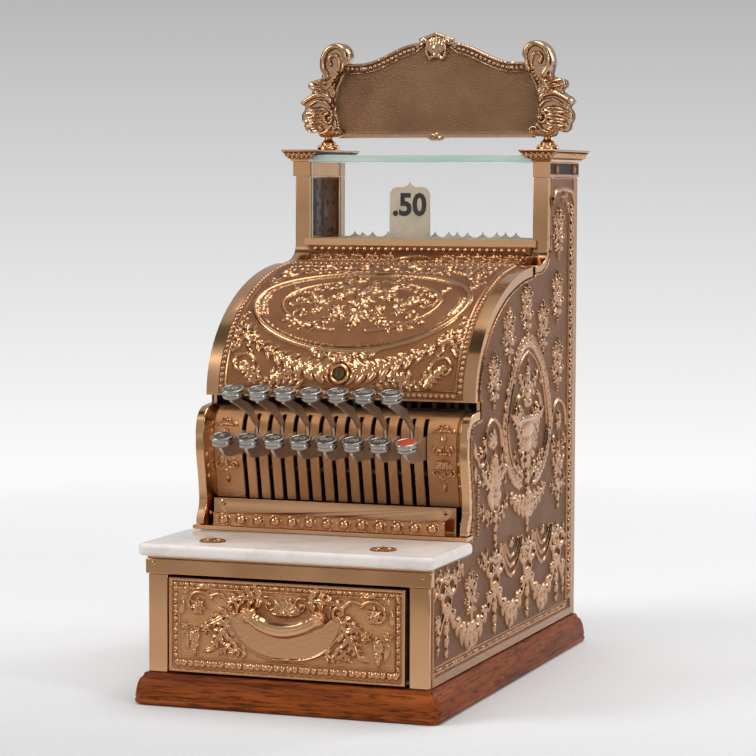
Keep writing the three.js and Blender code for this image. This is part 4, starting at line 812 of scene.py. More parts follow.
def rectangle(low, high):
    """The corners of an upright rectangle from its lowest and its highest corner."""
    return [(low[0], low[1]), (high[0], low[1]), (high[0], high[1]), (low[0], high[1])]


def new_piece(name, points, faces, relief=None, degrees=40):
    """One mesh object from millimetre places and faces, shaded smooth up to an angle."""
    mesh = bpy.data.meshes.new(name)
    mesh.from_pydata(to_frame(points).tolist(), [], faces)
    mesh.validate()
    if relief is not None:
        mesh.attributes.new("relief", "FLOAT", "POINT").data.foreach_set("value", relief.astype(np.float32))
    smooth_by_angle(mesh, degrees)
    piece = bpy.data.objects.new(name, mesh)
    bpy.context.collection.objects.link(piece)
    return piece


def faces_out(faces, place, u, v):
    """Reverse the faces if the sheet's u and v axes and its height axis make a left-handed set."""
    step = 0.1
    near = np.array([[u, v, 0.0], [u + step, v, 0.0], [u, v + step, 0.0], [u, v, step]])
    base, *ends = np.array(place(*near.T)).T
    along_u, along_v, up = (end - base for end in ends)
    return faces if np.cross(along_u, along_v) @ up > 0 else [face[::-1] for face in faces]


def trimmed_cells(depth):
    """Cells whose middle is inside, without two that touch only at a corner."""
    middle = (depth[:-1, :-1] + depth[1:, :-1] + depth[1:, 1:] + depth[:-1, 1:]) / 4
    cells = middle > 0
    for _ in range(6):
        a, b, c, d = cells[:-1, :-1], cells[1:, :-1], cells[:-1, 1:], cells[1:, 1:]
        pinch = (a & d & ~b & ~c) | (b & c & ~a & ~d)
        if not pinch.any():
            break
        for i, j in np.argwhere(pinch):
            cells[i:i + 2, j:j + 2] = True
    return cells


def border_loops(quads):
    """Directed border edges of a set of quads, chained into loops of point numbers."""
    starts = quads.ravel()
    ends = np.roll(quads, -1, axis=1).ravel()
    size = int(quads.max()) + 1
    forward, backward = starts * size + ends, ends * size + starts
    border = ~np.isin(forward, backward)
    return chained(dict(zip(starts[border].tolist(), ends[border].tolist())))


def grid_quads(rows, cols):
    """The four corner numbers of every cell of a grid of points, as rows by columns by four."""
    numbers = np.arange(rows * cols).reshape(rows, cols)
    return np.stack([numbers[:-1, :-1], numbers[1:, :-1], numbers[1:, 1:], numbers[:-1, 1:]], -1)


RIM_SLOPE = 0.7
FULL_RELIEF = 2.0


def relief_shell(name, relief, outline, place, ground=0.4, sink=1.2, edge=0.4, rim=(0, 0), pillow=(0, 0)):
    """A closed shell over a flat carrier, whose relief is stored as a share of FULL_RELIEF for the finish.

    The sheet's ground stands at ground, its border at edge, and its back lies sink deep in the carrier.
    A rim is a raised flat of so much width and height along the border.
    A pillow rounds the sheet down to its border over so much reach: height * sqrt(1 - (1 - depth / reach)^2).
    """
    u, v = np.meshgrid(relief.u, relief.v, indexing="ij")
    depth, near_u, near_v = inside_distance(u, v, np.asarray(outline, float))
    if rim[0]:
        slope = np.clip((rim[0] - depth) / RIM_SLOPE + 0.5, 0, 1)
        relief.h = relief.h * (1 - slope) + rim[1] * slope
    if pillow[0]:
        share = np.clip(depth / pillow[0], 0, 1)
        relief.h = relief.h + pillow[1] * np.sqrt(np.clip(1 - (1 - share) ** 2, 0, 1))
    quads = grid_quads(*u.shape)[trimmed_cells(depth)]
    loops = border_loops(quads)
    height = ground + relief.h.ravel()
    u, v = u.ravel().copy(), v.ravel().copy()
    for line in loops:
        u[line], v[line] = near_u.ravel()[line], near_v.ravel()[line]
        height[line] = np.minimum(height[line], edge)
    used, packed = np.unique(quads, return_inverse=True)
    quads = packed.reshape(quads.shape)
    renumber = {int(old): new for new, old in enumerate(used)}
    points = np.stack(place(u[used], v[used], height[used]), 1)
    faces = quads.tolist()
    value = [np.clip(relief.h.ravel()[used] / FULL_RELIEF, 0, 1)]
    parts = [points]
    count = len(used)
    for line in loops:
        border = [renumber[i] for i in line]
        under = list(range(count, count + len(border)))
        parts.append(np.stack(place(u[line], v[line], np.full(len(line), -sink)), 1))
        value.append(np.zeros(len(line)))
        wall = zip(border, border[1:] + border[:1], under, under[1:] + under[:1])
        faces += [[b, a, c, d] for a, b, c, d in wall]
        faces.append(under[::-1])
        count += len(border)
    middle = len(relief.u) // 2, len(relief.v) // 2
    faces = faces_out(faces, place, relief.u[middle[0]], relief.v[middle[1]])
    return new_piece(name, np.concatenate(parts), faces, np.concatenate(value))


def bent_shell(name, relief, place, ground=0.4, sink=0.8, edge=0.1):
    """A closed shell over a carrier that bends along v: strips close its back from side to side."""
    rows, cols = relief.h.shape
    height = ground + relief.h
    height[[0, -1]] = edge
    height[:, [0, -1]] = edge
    u, v = np.meshgrid(relief.u, relief.v, indexing="ij")
    top = np.stack(place(u.ravel(), v.ravel(), height.ravel()), 1)
    ends_u = np.concatenate([np.full(cols, relief.u[0]), np.full(cols, relief.u[-1])])
    under = np.stack(place(ends_u, np.tile(relief.v, 2), np.full(2 * cols, -sink)), 1)
    numbers = np.arange(rows * cols).reshape(rows, cols)
    faces = grid_quads(rows, cols).reshape(-1, 4).tolist()
    left = rows * cols + np.arange(cols)
    right = left + cols
    for j in range(cols - 1):
        faces.append([int(left[j]), int(left[j + 1]), int(right[j + 1]), int(right[j])])
        faces.append([int(numbers[0, j]), int(numbers[0, j + 1]), int(left[j + 1]), int(left[j])])
        faces.append([int(numbers[-1, j + 1]), int(numbers[-1, j]), int(right[j]), int(right[j + 1])])
    faces.append([int(left[0]), int(right[0])] + numbers[::-1, 0].tolist())
    faces.append([int(right[-1]), int(left[-1])] + numbers[:, -1].tolist())
    value = np.concatenate([np.clip(relief.h.ravel() / FULL_RELIEF, 0, 1), np.zeros(2 * cols)])
    faces = faces_out(faces, place, relief.u[rows // 2], relief.v[cols // 2])
    return new_piece(name, np.concatenate([top, under]), faces, value)


print("relief makers ready")

# %% [markdown]
# The side panel carries the richest casting: a band of bows and garlands along the foot, a wreath with an
# urn in it, small flower sprigs sown over the ground, and a bead-and-reel column at the back edge. It is
# drawn once in (d, z) and set on both sides, as the founder cast both from one pattern. A table of marks
# gives, under the name of each relief tool, the numbers that the tool is called with. What comes in pairs
# is drawn in a loop.

# %% Side panels
SIDE_CELL = 1.15
PANEL_RIM = (1.6, 0.9)
BOW_PLACES = (38, 162, 254, 343)
SIDE_SPRIGS = ((343, 366), (340, 311), (342, 252), (297, 286), (248, 303), (198, 284), (158, 250))
COLUMN_D = 381.5
COLUMN_HALF = 6.5
PLAIN_D, PLAIN_Z, PLAIN_HEIGHT = COLUMN_D + 7.5, 33, 0.8
WREATH_D = 253.0
WREATH_HALF = [(2, 277), (22, 270), (43, 254), (58, 232), (66, 206), (58, 183), (40, 166), (14, 156)]
URN_MARKS = {
    "acanthus": ((WREATH_D, 222, 90, 46, 15, 2.3, 5),),
    "dome": ((WREATH_D, 204, 19, 9, 3.0), (WREATH_D, 192, 12, 9, 2.7)),
    "ridge": (([(WREATH_D - 21, 212), (WREATH_D + 21, 212)], 2.2, 2.2, 2.5),),
    "husks": ((WREATH_D, 182, -90, 44, 20, 2.3, 4), (WREATH_D, 136, -90, 20, 14, 1.9, 3)),
    "swag": (((202, 152), (304, 152), 13, 17, 2.1),),
}
SIDE_MARKS = {
    "beads": (([(COLUMN_D, 41), (COLUMN_D, 391)], 7.2, 3.5, 2.3, True),
              ([(117, 128), (117, 178)], 5.4, 2.2, 1.7)),
    "tongues": (([(6, 36.4), (374, 36.4)], 5.4, 5.6, 4.4, 1.7),),
    "ridge": (
        ([(COLUMN_D - COLUMN_HALF, 38), (COLUMN_D - COLUMN_HALF, 390)], 0.9, 0.9, 1.4),
        ([(COLUMN_D + COLUMN_HALF, 38), (COLUMN_D + COLUMN_HALF, 390)], 0.9, 0.9, 1.4),
        ([(4, 40.6), (376, 40.6)], 0.8, 0.8, 1.1),
        (curve([(321.5, 384), (324, 394), (333, 401), (347, 403), (372, 403), (386, 400), (393, 391)]),
         1.9, 1.9, 2.0),
        (curve([(131, 196), (137, 211), (155, 219), (173, 211), (179, 196)]), 1.8, 1.8, 2.0),
        (curve([(323, 198), (328, 213), (346, 221), (364, 213), (369, 198)]), 1.8, 1.8, 2.0),
    ),
    "palmette": ((155, 197, 90, 17, 2.0, 7),),
    "spiral": ((123, 193, 13, 60, 1.3, 2.0, 2.2, -1), (188, 186, 11, 120, 1.3, 1.8, 2.1, 1)),
    "acanthus": ((160, 148, 90, 52, 24, 2.3, 5), (346, 160, 90, 34, 14, 2.2, 4)),
    "rosette": ((160, 160, 8, 7, 2.6), (346, 203, 10, 7, 2.3), (346, 162, 7, 6, 2.5)),
    "husks": ((163, 142, -90, 28, 17, 2.0, 4), (346, 150, -90, 24, 15, 2.0, 3), (17, 78, -90, 30, 12, 1.8, 3),
              (364, 78, -90, 30, 12, 1.8, 3)),
    "leaf": ((104, 205, -60, 20, 9, 1.8), (108, 188, -80, 18, 8, 1.7)),
    "vine": (([(352, 397), (366, 396), (374, 386)], 9, 1.5), ([(8, 92), (14, 106), (26, 110)], 10, 1.8),
             ([(356, 108), (366, 104), (370, 92)], 9, 1.7)),
    "sprig": ((100, 84, 36, 42, 2.1), *[(d, z, 36, 50, 2.0) for d, z in SIDE_SPRIGS]),
}


def oval_wreath(r):
    """The laurel oval with the urn: half of its line, and its marks, are set to the right and the left."""
    for hand in (-1, 1):
        def at(reach):
            return WREATH_D + hand * reach
        r.wreath(curve([(at(x), z) for x, z in WREATH_HALF[::-1]]), 13, 2.1)
        r.ridge(curve([(at(x * 0.84), 213 + (z - 213) * 0.86) for x, z in WREATH_HALF]), 1.3, 1.3, 1.5)
        r.spiral(at(26), 219, 13, 90, 1.3, 2.1, 2.4, -hand)
        r.spiral(at(40), 246, 7, 200, 1.1, 1.3, 1.7, hand)
        r.acanthus(at(12), 206, 90 - hand * 72, 42, 17, 2.2, 4)
        r.acanthus(at(8), 184, 90 - hand * 48, 40, 16, 2.1, 4)
        r.acanthus(at(10), 236, 90 - hand * 52, 28, 13, 2.0, 3)
        r.vine([(at(6), 172), (at(26), 168), (at(40), 182)], 13, 1.9)
        r.rosette(at(21), 191, 8, 6, 2.4)
    r.draw(URN_MARKS)


def motif_pairs(r):
    """What stands left and right of the middles of the two bouquets beside the wreath."""
    for hand in (-1, 1):
        r.acanthus(158, 160, 90 - hand * 62, 38, 15, 2.0, 4)
        r.vine([(160, 146), (160 + hand * 20, 140), (160 + hand * 36, 150)], 12, 1.9)
        r.vine([(157, 176), (157 + hand * 20, 178), (157 + hand * 34, 168)], 12, 1.8)
        r.spiral(346 + hand * 14, 182, 8, 90, 1.2, 1.4, 1.9, -hand)
        r.acanthus(346 + hand * 3, 158, 90 - hand * 50, 24, 11, 2.0, 3)
        r.vine([(346, 148), (346 + hand * 12, 143), (346 + hand * 22, 150)], 10, 1.8)


def bows_and_drops(r, places):
    """A ribbon knot with a drop of bell flowers under it at each place."""
    for d in places:
        r.bow(d, 99, 19, 2.3, 1.7)
        r.husks(d, 84, -90, 40, 18, 2.1, 4)


def side_foot_band(r):
    """Bows with garlands between them, and three cords that hang in arches over each of two garlands."""
    bows_and_drops(r, BOW_PLACES)
    for d in BOW_PLACES:
        r.palmette(d, 104, 90, 12, 2.0, 5)
    for first, last, sag in ((50, 150, 27), (173, 244, 25), (265, 333, 24)):
        r.swag((first, 80), (last, 80), sag, 18, 2.3)
    for middle in (208, 299):
        for reach, sag in ((29, 29), (24, 21), (18, 13)):
            t = np.linspace(-1, 1, 13)
            r.ridge(np.stack([middle + reach * t, 114 - sag * (1 - t ** 2)], 1), 1.6, 1.6, 1.8)
        r.palmette(middle, 110, 90, 10, 1.8, 5)
        for hand in (-1, 1):
            r.leaf(middle + hand * 30, 116, 270 + hand * 20, 28, 9, 2.0)
    for middle, hand in ((68, 1), (132, -1)):
        r.spiral(middle, 104, 9, 90 - hand * 90, 1.2, 1.5, 1.9, hand)
        r.vine([(middle - hand * 15, 98), (middle - hand * 4, 110), (middle + hand * 12, 106)], 11, 1.8)


def side_ornament(outline):
    """The panel's drawing, with a smooth strip behind the column and along the foot."""
    low, high = outline.min(0), outline.max(0)
    r = Relief(low[0], high[0], low[1], high[1], SIDE_CELL)
    r.draw(SIDE_MARKS)
    oval_wreath(r)
    motif_pairs(r)
    side_foot_band(r)
    u, v = np.meshgrid(r.u, r.v, indexing="ij")
    plain = (u > PLAIN_D) | (v < PLAIN_Z)
    r.h = np.where(plain, np.maximum(r.h, PLAIN_HEIGHT), r.h)
    return r


def side_pressed(points):
    """The solid's raised forms moved back into the panel's outer face."""
    return np.column_stack([np.clip(points[:, 0], -carrier, carrier), points[:, 1:]])


carrier = abs(node_box("front_pilaster_right")[1][0])
for side, hand in SIDES:
    node = "side_panel_" + side
    settle(eased(node, node + "_eased", 0.4, press=side_pressed), BRASS, "cabinet", "cast_brass", node)
    outline = flat_outline(node, 0, -hand)[:, 1:]
    panel = relief_shell("side_relief_" + side, side_ornament(outline), outline,
                         lambda u, v, h: (hand * (carrier + h), u, v), rim=PANEL_RIM)
    settle(panel, CAST)
    print(panel.name, "faces", len(panel.data.polygons))

# %% [markdown]
# The drawer front is one casting with its own frame: beads and reels above and at the sides, a leaf
# moulding below, and scrolling acanthus inside. In its middle is a smooth crescent plate. The handle is a
# thick crescent too, cast hollow and bolted on through the scroll ends. Only the right half is drawn. The
# crescent wipes out what lies under it, so its rims and curls come after it.

# %% Drawer front
DRAWER_CELL = 0.55
DRAWER_FRONT_D = -2.0
CRESCENT = [(0, 41.5), (15, 42.5), (28, 47), (38, 55), (44, 64), (46, 72), (43, 77.5)]
CRESCENT_TOP = [(38, 75), (24, 65), (0, 60.5)]
SCROLL_MARKS = {
    "spiral": ((73, 80, 12.5, 150, 1.0, 1.7, 2.2, -1),),
    "ridge": ((curve([(46, 83), (54, 90), (63, 88)]), 1.9, 1.4, 2.4),),
    "rosette": ((73, 80, 8.0, 7, 2.8), (73, 80, 4.4, 5, 3.1, 50), (66, 63, 5.6, 6, 2.7),
                (75, 60, 4.8, 6, 2.4), (84, 64, 4.4, 5, 2.2)),
    "acanthus": ((20, 89, -4, 34, 13, 3.0, 4), (48, 75, -30, 22, 10, 2.7, 3), (48, 67, -56, 28, 12, 2.9, 4),
                 (43, 54, -44, 18, 9, 2.5, 3), (33, 47, -8, 18, 8, 2.2, 3)),
    "husks": ((76, 58, -90, 17, 14, 2.4, 3),),
    "leaf": ((84, 60, -100, 16, 5, 1.9), (87, 72, 95, 14, 4.6, 1.8), (58, 48, -20, 12, 5, 2.1),
             (62, 94, 8, 14, 4.6, 1.9), (85, 88, 120, 9, 4, 1.7)),
}
CRESCENT_MARKS = {
    "ridge": ((curve(CRESCENT), 1.3, 1.0, 2.3), (curve([(43, 77.5)] + CRESCENT_TOP), 1.0, 1.0, 2.0)),
    "spiral": ((13, 84, 6.6, 60, 1.3, 1.5, 2.4, 1), (44.5, 80.5, 6.2, 250, 1.1, 2.0, 3.2, -1)),
    "palmette": ((0, 77, 90, 15, 2.6, 9, 170),),
}


def mirrored(points):
    """A closed outline from its right half, written from the bottom middle round to the top middle."""
    right = np.asarray(points, float)
    left = right[::-1] * (-1, 1)
    return np.vstack([right, left[1:-1]])


def drawer_ornament(low, high):
    """The drawer front's drawing: the frame follows the box's edges, the rest stands in the tables."""
    r = Relief(low[0], high[0], low[2], high[2], DRAWER_CELL)
    top, foot, side = high[2], low[2], high[0]
    r.beads([(0, top - 4.7), (side - 3.6, top - 4.7)], 4.6, 1.7, 1.7, reels=True)
    r.beads([(side - 5.6, foot + 6), (side - 5.6, top - 6)], 4.6, 1.7, 1.7, reels=True)
    r.ridge([(0, top - 7.6), (side - 8.4, top - 7.6), (side - 8.4, foot + 11)], 0.6, 0.6, 1.1)
    r.tongues([(0, foot + 7), (side - 5, foot + 7)], 5.0, 6.6, 4.4, 1.9)
    r.ridge([(0, foot + 11.3), (side - 8.4, foot + 11.3)], 0.7, 0.7, 1.2)
    r.draw(SCROLL_MARKS)
    r.plate(mirrored(np.vstack([curve(CRESCENT), curve(CRESCENT_TOP)])), 1.2)
    r.draw(CRESCENT_MARKS)
    r.mirror()
    return r


low, high = node_box("drawer_front")
face = relief_shell("drawer_front_relief", drawer_ornament(low, high),
                    rectangle(low[[0, 2]], high[[0, 2]]), lambda u, v, h: (u, DRAWER_FRONT_D - h, v),
                    ground=0.0, sink=3.4, edge=0.9, rim=(2.4, 1.5))
# The drawer front takes the lighter copy of the cast brass: painted bright reflection.
settle(face, PAINTED_BRIGHT_CAST, "drawer", "cast_brass", "drawer_front")
print(face.name, "faces", len(face.data.polygons))

# %% [markdown]
# The lid is a quarter drum that rolls back over the keys. Its casting has a big oval with a bouquet in
# it, a garland hung below, and a line of beads inside each polished edge band. The sheet is drawn flat in
# (x, arc length) and rolled onto the drum: the drum's section is an ellipse, so the arc length is summed
# in small steps and looked up backwards. The right half is drawn and mirrored, then the lock's place is
# cleared.

# %% Lid
LID_CELL = 0.95
LID_CENTRE = (288.0, 235.0)
LID_REACH = (175.0, 104.0)
LID_END = 84.0
LID_BAND = 10.5
LOCK_ARC, LOCK_CLEARING = 19.8, 9.6
OVAL_MIDDLE = 97.0
LID_OVALS = ((92, 57, 90, 49, 2.5, 2.4), (87, 52.5, 90, 49, 0.9, 1.3), (68, 37, 78, 41, 1.8, 1.9))
LID_MARKS = {
    "wreath": ((curve([(84, 112), (86, 97), (82, 82)]), 11, 1.8),),
    "rosette": ((0, OVAL_MIDDLE, 13, 8, 2.7), (0, OVAL_MIDDLE, 7, 6, 3.1, 60), (21, 106, 9, 7, 2.5),
                (18, 86, 8, 7, 2.4), (43, 101, 8.5, 7, 2.4), (36, 84, 6.5, 6, 2.2), (15, 138, 7, 6, 2.2),
                (37, 176, 6.5, 6, 2.3), (0, 174, 9, 7, 2.5)),
    "spiral": ((56, 98, 10, 90, 1.4, 1.6, 2.3, -1), (47, 79, 7.5, 300, 1.2, 1.4, 2.1, 1),
               (86, 27, 11, 200, 1.3, 1.7, 2.2, -1), (22, 38, 5.5, 90, 1.1, 1.1, 1.8, -1),
               (84, 152, 10, 150, 1.3, 1.6, 2.1, 1), (52, 174, 9, 30, 1.3, 1.5, 2.1, 1),
               (22, 176, 9, 150, 1.3, 1.5, 2.1, -1)),
    "acanthus": ((28, 96, 8, 28, 11, 2.2, 4), (12, 112, 52, 26, 11, 2.2, 4), (12, 82, -40, 30, 11, 2.2, 4),
                 (0, 108, 90, 32, 14, 2.4, 5), (0, 86, -90, 28, 13, 2.3, 4), (72, 16, 30, 24, 10, 2.1, 4),
                 (60, 17, 172, 26, 9, 2.0, 4), (10, 34, 18, 24, 9, 2.0, 3), (74, 160, 150, 26, 11, 2.0, 4),
                 (90, 140, 262, 22, 9, 1.9, 4)),
    "vine": (([(14, 120), (28, 124), (42, 118), (52, 110)], 10, 1.9),
             ([(22, 72), (34, 66), (50, 68), (60, 76)], 10, 1.9), ([(6, 134), (16, 142), (28, 140)], 10, 1.9),
             ([(94, 40), (95, 60), (96, 78)], 9, 1.8), ([(30, 13), (46, 15), (60, 12), (76, 14)], 8, 1.8),
             ([(60, 182), (76, 186), (92, 178)], 9, 1.8),
             ([(8, 163), (22, 161), (40, 162), (58, 158)], 9, 1.8),
             ([(66, 168), (80, 170), (92, 164)], 9, 1.8)),
    "husks": ((60, 110, 60, 18, 9, 1.8, 3),),
    "swag": (((-88, 54), (88, 54), 33, 15, 2.4),),
    "palmette": ((88, 55, 90, 12, 2.2, 5), (0, 30, 90, 13, 2.2, 7)),
    "bow": ((88, 52, 9, 2.3, 1.6),),
}


def drum_places(centre, reach, first, last, steps=721):
    """Arc length, place and outward direction along an elliptic section, as rows of a table made here."""
    angle = np.radians(np.linspace(first, last, steps))
    d = centre[0] - reach[0] * np.cos(angle)
    z = centre[1] + reach[1] * np.sin(angle)
    normal = np.stack([-np.cos(angle) * reach[1], np.sin(angle) * reach[0]], 1)
    normal /= np.linalg.norm(normal, axis=1)[:, None]
    arc = np.concatenate([[0], np.cumsum(np.hypot(np.diff(d), np.diff(z)))])
    return arc, d, z, normal


def bent_place(arc, d, z, normal):
    """A place function for a sheet that bends along v as the section does."""
    def place(u, v, h):
        out_d, out_z = np.interp(v, arc, normal[:, 0]), np.interp(v, arc, normal[:, 1])
        return u, np.interp(v, arc, d) + h * out_d, np.interp(v, arc, z) + h * out_z
    return place


def lid_ornament(half, length):
    """The lid's drawing. A row of LID_OVALS is two reaches, an end angle, points, half width and height."""
    r = Relief(-half, half, 1.6, length - 1.6, LID_CELL)
    edge = half - 2.6
    for line in ([(edge, 5), (edge, length - 5)], [(0, 4.6), (edge - 3, 4.6)],
                 [(0, length - 4.6), (edge - 3, length - 4.6)]):
        r.beads(line, 4.8, 1.8, 1.7)
    r.ridge([(0, 8), (edge - 3.6, 8), (edge - 3.6, length - 8), (0, length - 8)], 0.7, 0.7, 1.1)
    for across, along, end, count, wide, height in LID_OVALS:
        t = np.radians(np.linspace(-end, end, count))
        r.ridge(np.stack([across * np.cos(t), OVAL_MIDDLE + along * np.sin(t)], 1), wide, wide, height)
    r.draw(LID_MARKS)
    r.mirror()
    r.cup(0, LOCK_ARC, LOCK_CLEARING)
    return r


def lid_pressed(points):
    """The solid's raised forms moved back onto the drum: what passes the ellipse comes off the radius."""
    off = (points[:, 1:] - LID_CENTRE) / LID_REACH
    excess = np.maximum(np.hypot(*off.T), 1e-6)[:, None]
    outside = (excess[:, 0] > 1.0004) & (off[:, 0] < 0.02) & (off[:, 1] > 0.0)
    moved = points.copy()
    moved[outside, 1:] = (LID_CENTRE + off / excess * np.array(LID_REACH) * 0.9985)[outside]
    return moved


settle(eased("lid", "lid_eased", 0.5, press=lid_pressed), BRASS, "lid", "cast_brass", "lid")
lid_table = drum_places(LID_CENTRE, LID_REACH, 0.0, LID_END)
lid_half = node_box("lid")[1][0] - LID_BAND
lid_sheet = bent_shell("lid_relief", lid_ornament(lid_half, lid_table[0][-1]), bent_place(*lid_table),
                       ground=0.35)
settle(lid_sheet, CAST, "lid", "cast_brass")
print(lid_sheet.name, "faces", len(lid_sheet.data.polygons))

# %% [markdown]
# Between the lid and the window runs a hollow moulding with small foliage and a bare oval plate in its
# middle. Under the window rail is a row of beads and reels on a narrow strip. They are separate little
# solids in one mesh, each half sunk, made as short lathe turns: a bead's profile is a half circle.

# %% Window apron and beads
APRON_CELL = 0.8
APRON_FLAT = (279.5, 286.0, 339.0)
APRON_REACH = (27.8, 14.8)
APRON_HALF = 97.0
FLOWER_COUNT, FLOWER_START, FLOWER_PITCH = 6, 20, 14.5


def apron_ornament(half, length):
    """A row of flowers on a wandering stem, and a bare oval plate in the middle."""
    r = Relief(-half, half, 0.8, length - 0.8, APRON_CELL)
    centre = length * 0.52
    for k in range(FLOWER_COUNT):
        x = FLOWER_START + FLOWER_PITCH * k
        r.rosette(x, centre + 1.5, 5.4, 6, 1.9)
        r.vine([(x + 1, centre - 6), (x + 6, centre + 3), (x + 13, centre - 1)], 6.5, 1.5)
        r.vine([(x + 2, centre + 8), (x + 7, centre + 11), (x + 12, centre + 7)], 5.5, 1.4)
    for v in (2, length - 3):
        r.ridge([(0, v), (half - 1, v)], 0.8, 0.8, 1.2)
    r.mirror()
    t = np.radians(np.linspace(0, 360, 41)[:-1])
    plate = np.stack([15 * np.cos(t), centre + 8 * np.sin(t)], 1)
    r.plate(plate, 0.9, 0.9, 1.7)
    return r


def section_table(rows):
    """The same table as a drum's: arc length, place and outward direction along a free section."""
    d, z = rows.T
    arc = np.concatenate([[0], np.cumsum(np.hypot(np.diff(d), np.diff(z)))])
    slope = np.column_stack([np.gradient(d, arc), np.gradient(z, arc)])
    slope /= np.linalg.norm(slope, axis=1)[:, None]
    return arc, d, z, np.column_stack([-slope[:, 1], slope[:, 0]])


angle = np.radians(np.linspace(0, 86, 60))
apron_d = np.concatenate([APRON_FLAT[:2], APRON_FLAT[1] + APRON_REACH[0] * np.sin(angle[1:])])
apron_z = np.concatenate([[APRON_FLAT[2]] * 2, APRON_FLAT[2] + APRON_REACH[1] * (1 - np.cos(angle[1:]))])
apron_table = section_table(np.column_stack([apron_d, apron_z]))
apron = bent_shell("window_apron_relief", apron_ornament(APRON_HALF, apron_table[0][-1]),
                   bent_place(*apron_table), ground=0.3)
settle(apron, CAST)


def ring_faces(rings, steps):
    """Faces of a wall that joins rings of so many points, and the first and last ring as its closed ends."""
    faces = []
    for k in range(rings - 1):
        a, b = k * steps, (k + 1) * steps
        faces += [[a + i, a + (i + 1) % steps, b + (i + 1) % steps, b + i] for i in range(steps)]
    last = (rings - 1) * steps
    return faces + [list(range(steps))[::-1], list(range(last, last + steps))]


def turned(profile, steps=20):
    """Points and faces of a lathe turn about the z axis: each (radius, height) of the profile is a ring."""
    angle = 2 * np.pi * np.arange(steps) / steps
    rings = [np.stack([r * np.cos(angle), r * np.sin(angle), np.full(steps, h)], 1)
             for r, h in np.asarray(profile, float)]
    return np.concatenate(rings), ring_faces(len(rings), steps)


def lathe(name, profile, steps, basis, place, degrees=40):
    """A lathe turn set at a place, with its axis along the third row of basis."""
    points, faces = turned(profile, steps)
    return new_piece(name, points @ basis + place, faces, degrees=degrees)


def ball_profile(radius=1.0, steps=9):
    """A ball's profile from pole to pole, cut short of them so that small flat ends close it."""
    return [(radius * math.cos(a), radius * math.sin(a)) for a in np.radians(np.linspace(-84, 84, steps))]


def aimed(points, axis):
    """Turn points so that their z axis looks along the given axis."""
    z = np.asarray(axis, float) / np.linalg.norm(axis)
    x = np.cross((0, 1, 0) if abs(z[1]) < 0.9 else (1, 0, 0), z)
    x /= np.linalg.norm(x)
    return points @ np.stack([x, np.cross(z, x), z])


def repeated(points, faces, places):
    """Many copies of one little solid, one for each place, as a single set of points and faces."""
    count = len(points)
    every = np.concatenate([points + np.asarray(place, float) for place in places])
    return every, [[i + k * count for i in face] for k in range(len(places)) for face in faces]


def merged(*solids):
    """Several sets of points and faces as one."""
    points, faces, count = [], [], 0
    for some_points, some_faces in solids:
        points.append(some_points)
        faces += [[i + count for i in face] for face in some_faces]
        count += len(some_points)
    return np.concatenate(points), faces


def bead_profile(radius, height, steps=5, sink=0.6):
    """Half circle from the foot to the crown: radius * cos, height * sin."""
    angle = np.radians(np.linspace(0, 84, steps))
    return [(radius, -sink)] + [(radius * math.cos(a), height * math.sin(a)) for a in angle]


def bead_row(name, first, last, pitch, radius, height, axis):
    """Beads from first to last, half sunk in a face that looks along axis, with a reel between each two."""
    first, last = np.array(first, float), np.array(last, float)
    run = last - first
    count = max(1, int(round(np.linalg.norm(run) / pitch)))
    spots = [first + run * (k + 0.5) / count for k in range(count)]
    gaps = [first + run * (k + 0.999) / count for k in range(count - 1)]
    bead, bead_faces = turned(bead_profile(radius, height), 10)
    reel, reel_faces = turned(bead_profile(radius * 0.95, height * 0.85, 4), 10)
    along = run / np.linalg.norm(run)
    reel = aimed(reel, axis)
    reel = reel - np.outer(reel @ along, along) * 0.78
    points, faces = merged(repeated(aimed(bead, axis), bead_faces, spots), repeated(reel, reel_faces, gaps))
    return new_piece(name, points, faces)


def framed(name, rings, degrees=34):
    """A closed solid through rectangles, each (x0, x1, y0, y1, z), from the top down."""
    points = [(x, y, z) for x0, x1, y0, y1, z in rings for x, y in ((x0, y0), (x1, y0), (x1, y1), (x0, y1))]
    faces = [[4 * k + i, 4 * k + 4 + i, 4 * k + 4 + (i + 1) % 4, 4 * k + (i + 1) % 4]
             for k in range(len(rings) - 1) for i in range(4)]
    last = 4 * len(rings) - 4
    faces += [[0, 1, 2, 3], [last + 3, last + 2, last + 1, last]]
    return new_piece(name, np.array(points, float), faces, degrees=degrees)


SILL_FRONT, SILL_BACK, SILL_HALF = 309.9, 314.4, 101.5
RAIL_HALF, RAIL_Z = 99, 350.6
rail_beads = bead_row("window_rail_beads", (-RAIL_HALF, SILL_FRONT, RAIL_Z), (RAIL_HALF, SILL_FRONT, RAIL_Z),
                      6.6, 2.0, 1.9, (0, -1, 0))
settle(rail_beads, BRASS)
strip = framed("window_bead_strip",
               [(-SILL_HALF, SILL_HALF, SILL_FRONT, SILL_BACK, z) for z in (354.2, 347.4)])
settle(strip, CAST)
print(apron.name, len(apron.data.polygons), "faces;", rail_beads.name, len(rail_beads.data.polygons))

# %% [markdown]
# The sign is a flat casting in a scrolled frame, with a bare stippled field. A raised rim runs all round,
# a row of beads follows the top edge inside it, and a palmette crowns it. The frame ends are leafy
# consoles with a big curl, a horn and a turned foot on the cornice. Both are drawn as reliefs and set
# front and back. The consoles have a pillow section, so that their edges roll away.

# %% Sign and its consoles
SIGN_CELL = 0.8
SIGN_RIM = 2.6
CONSOLE_CELL = 0.5


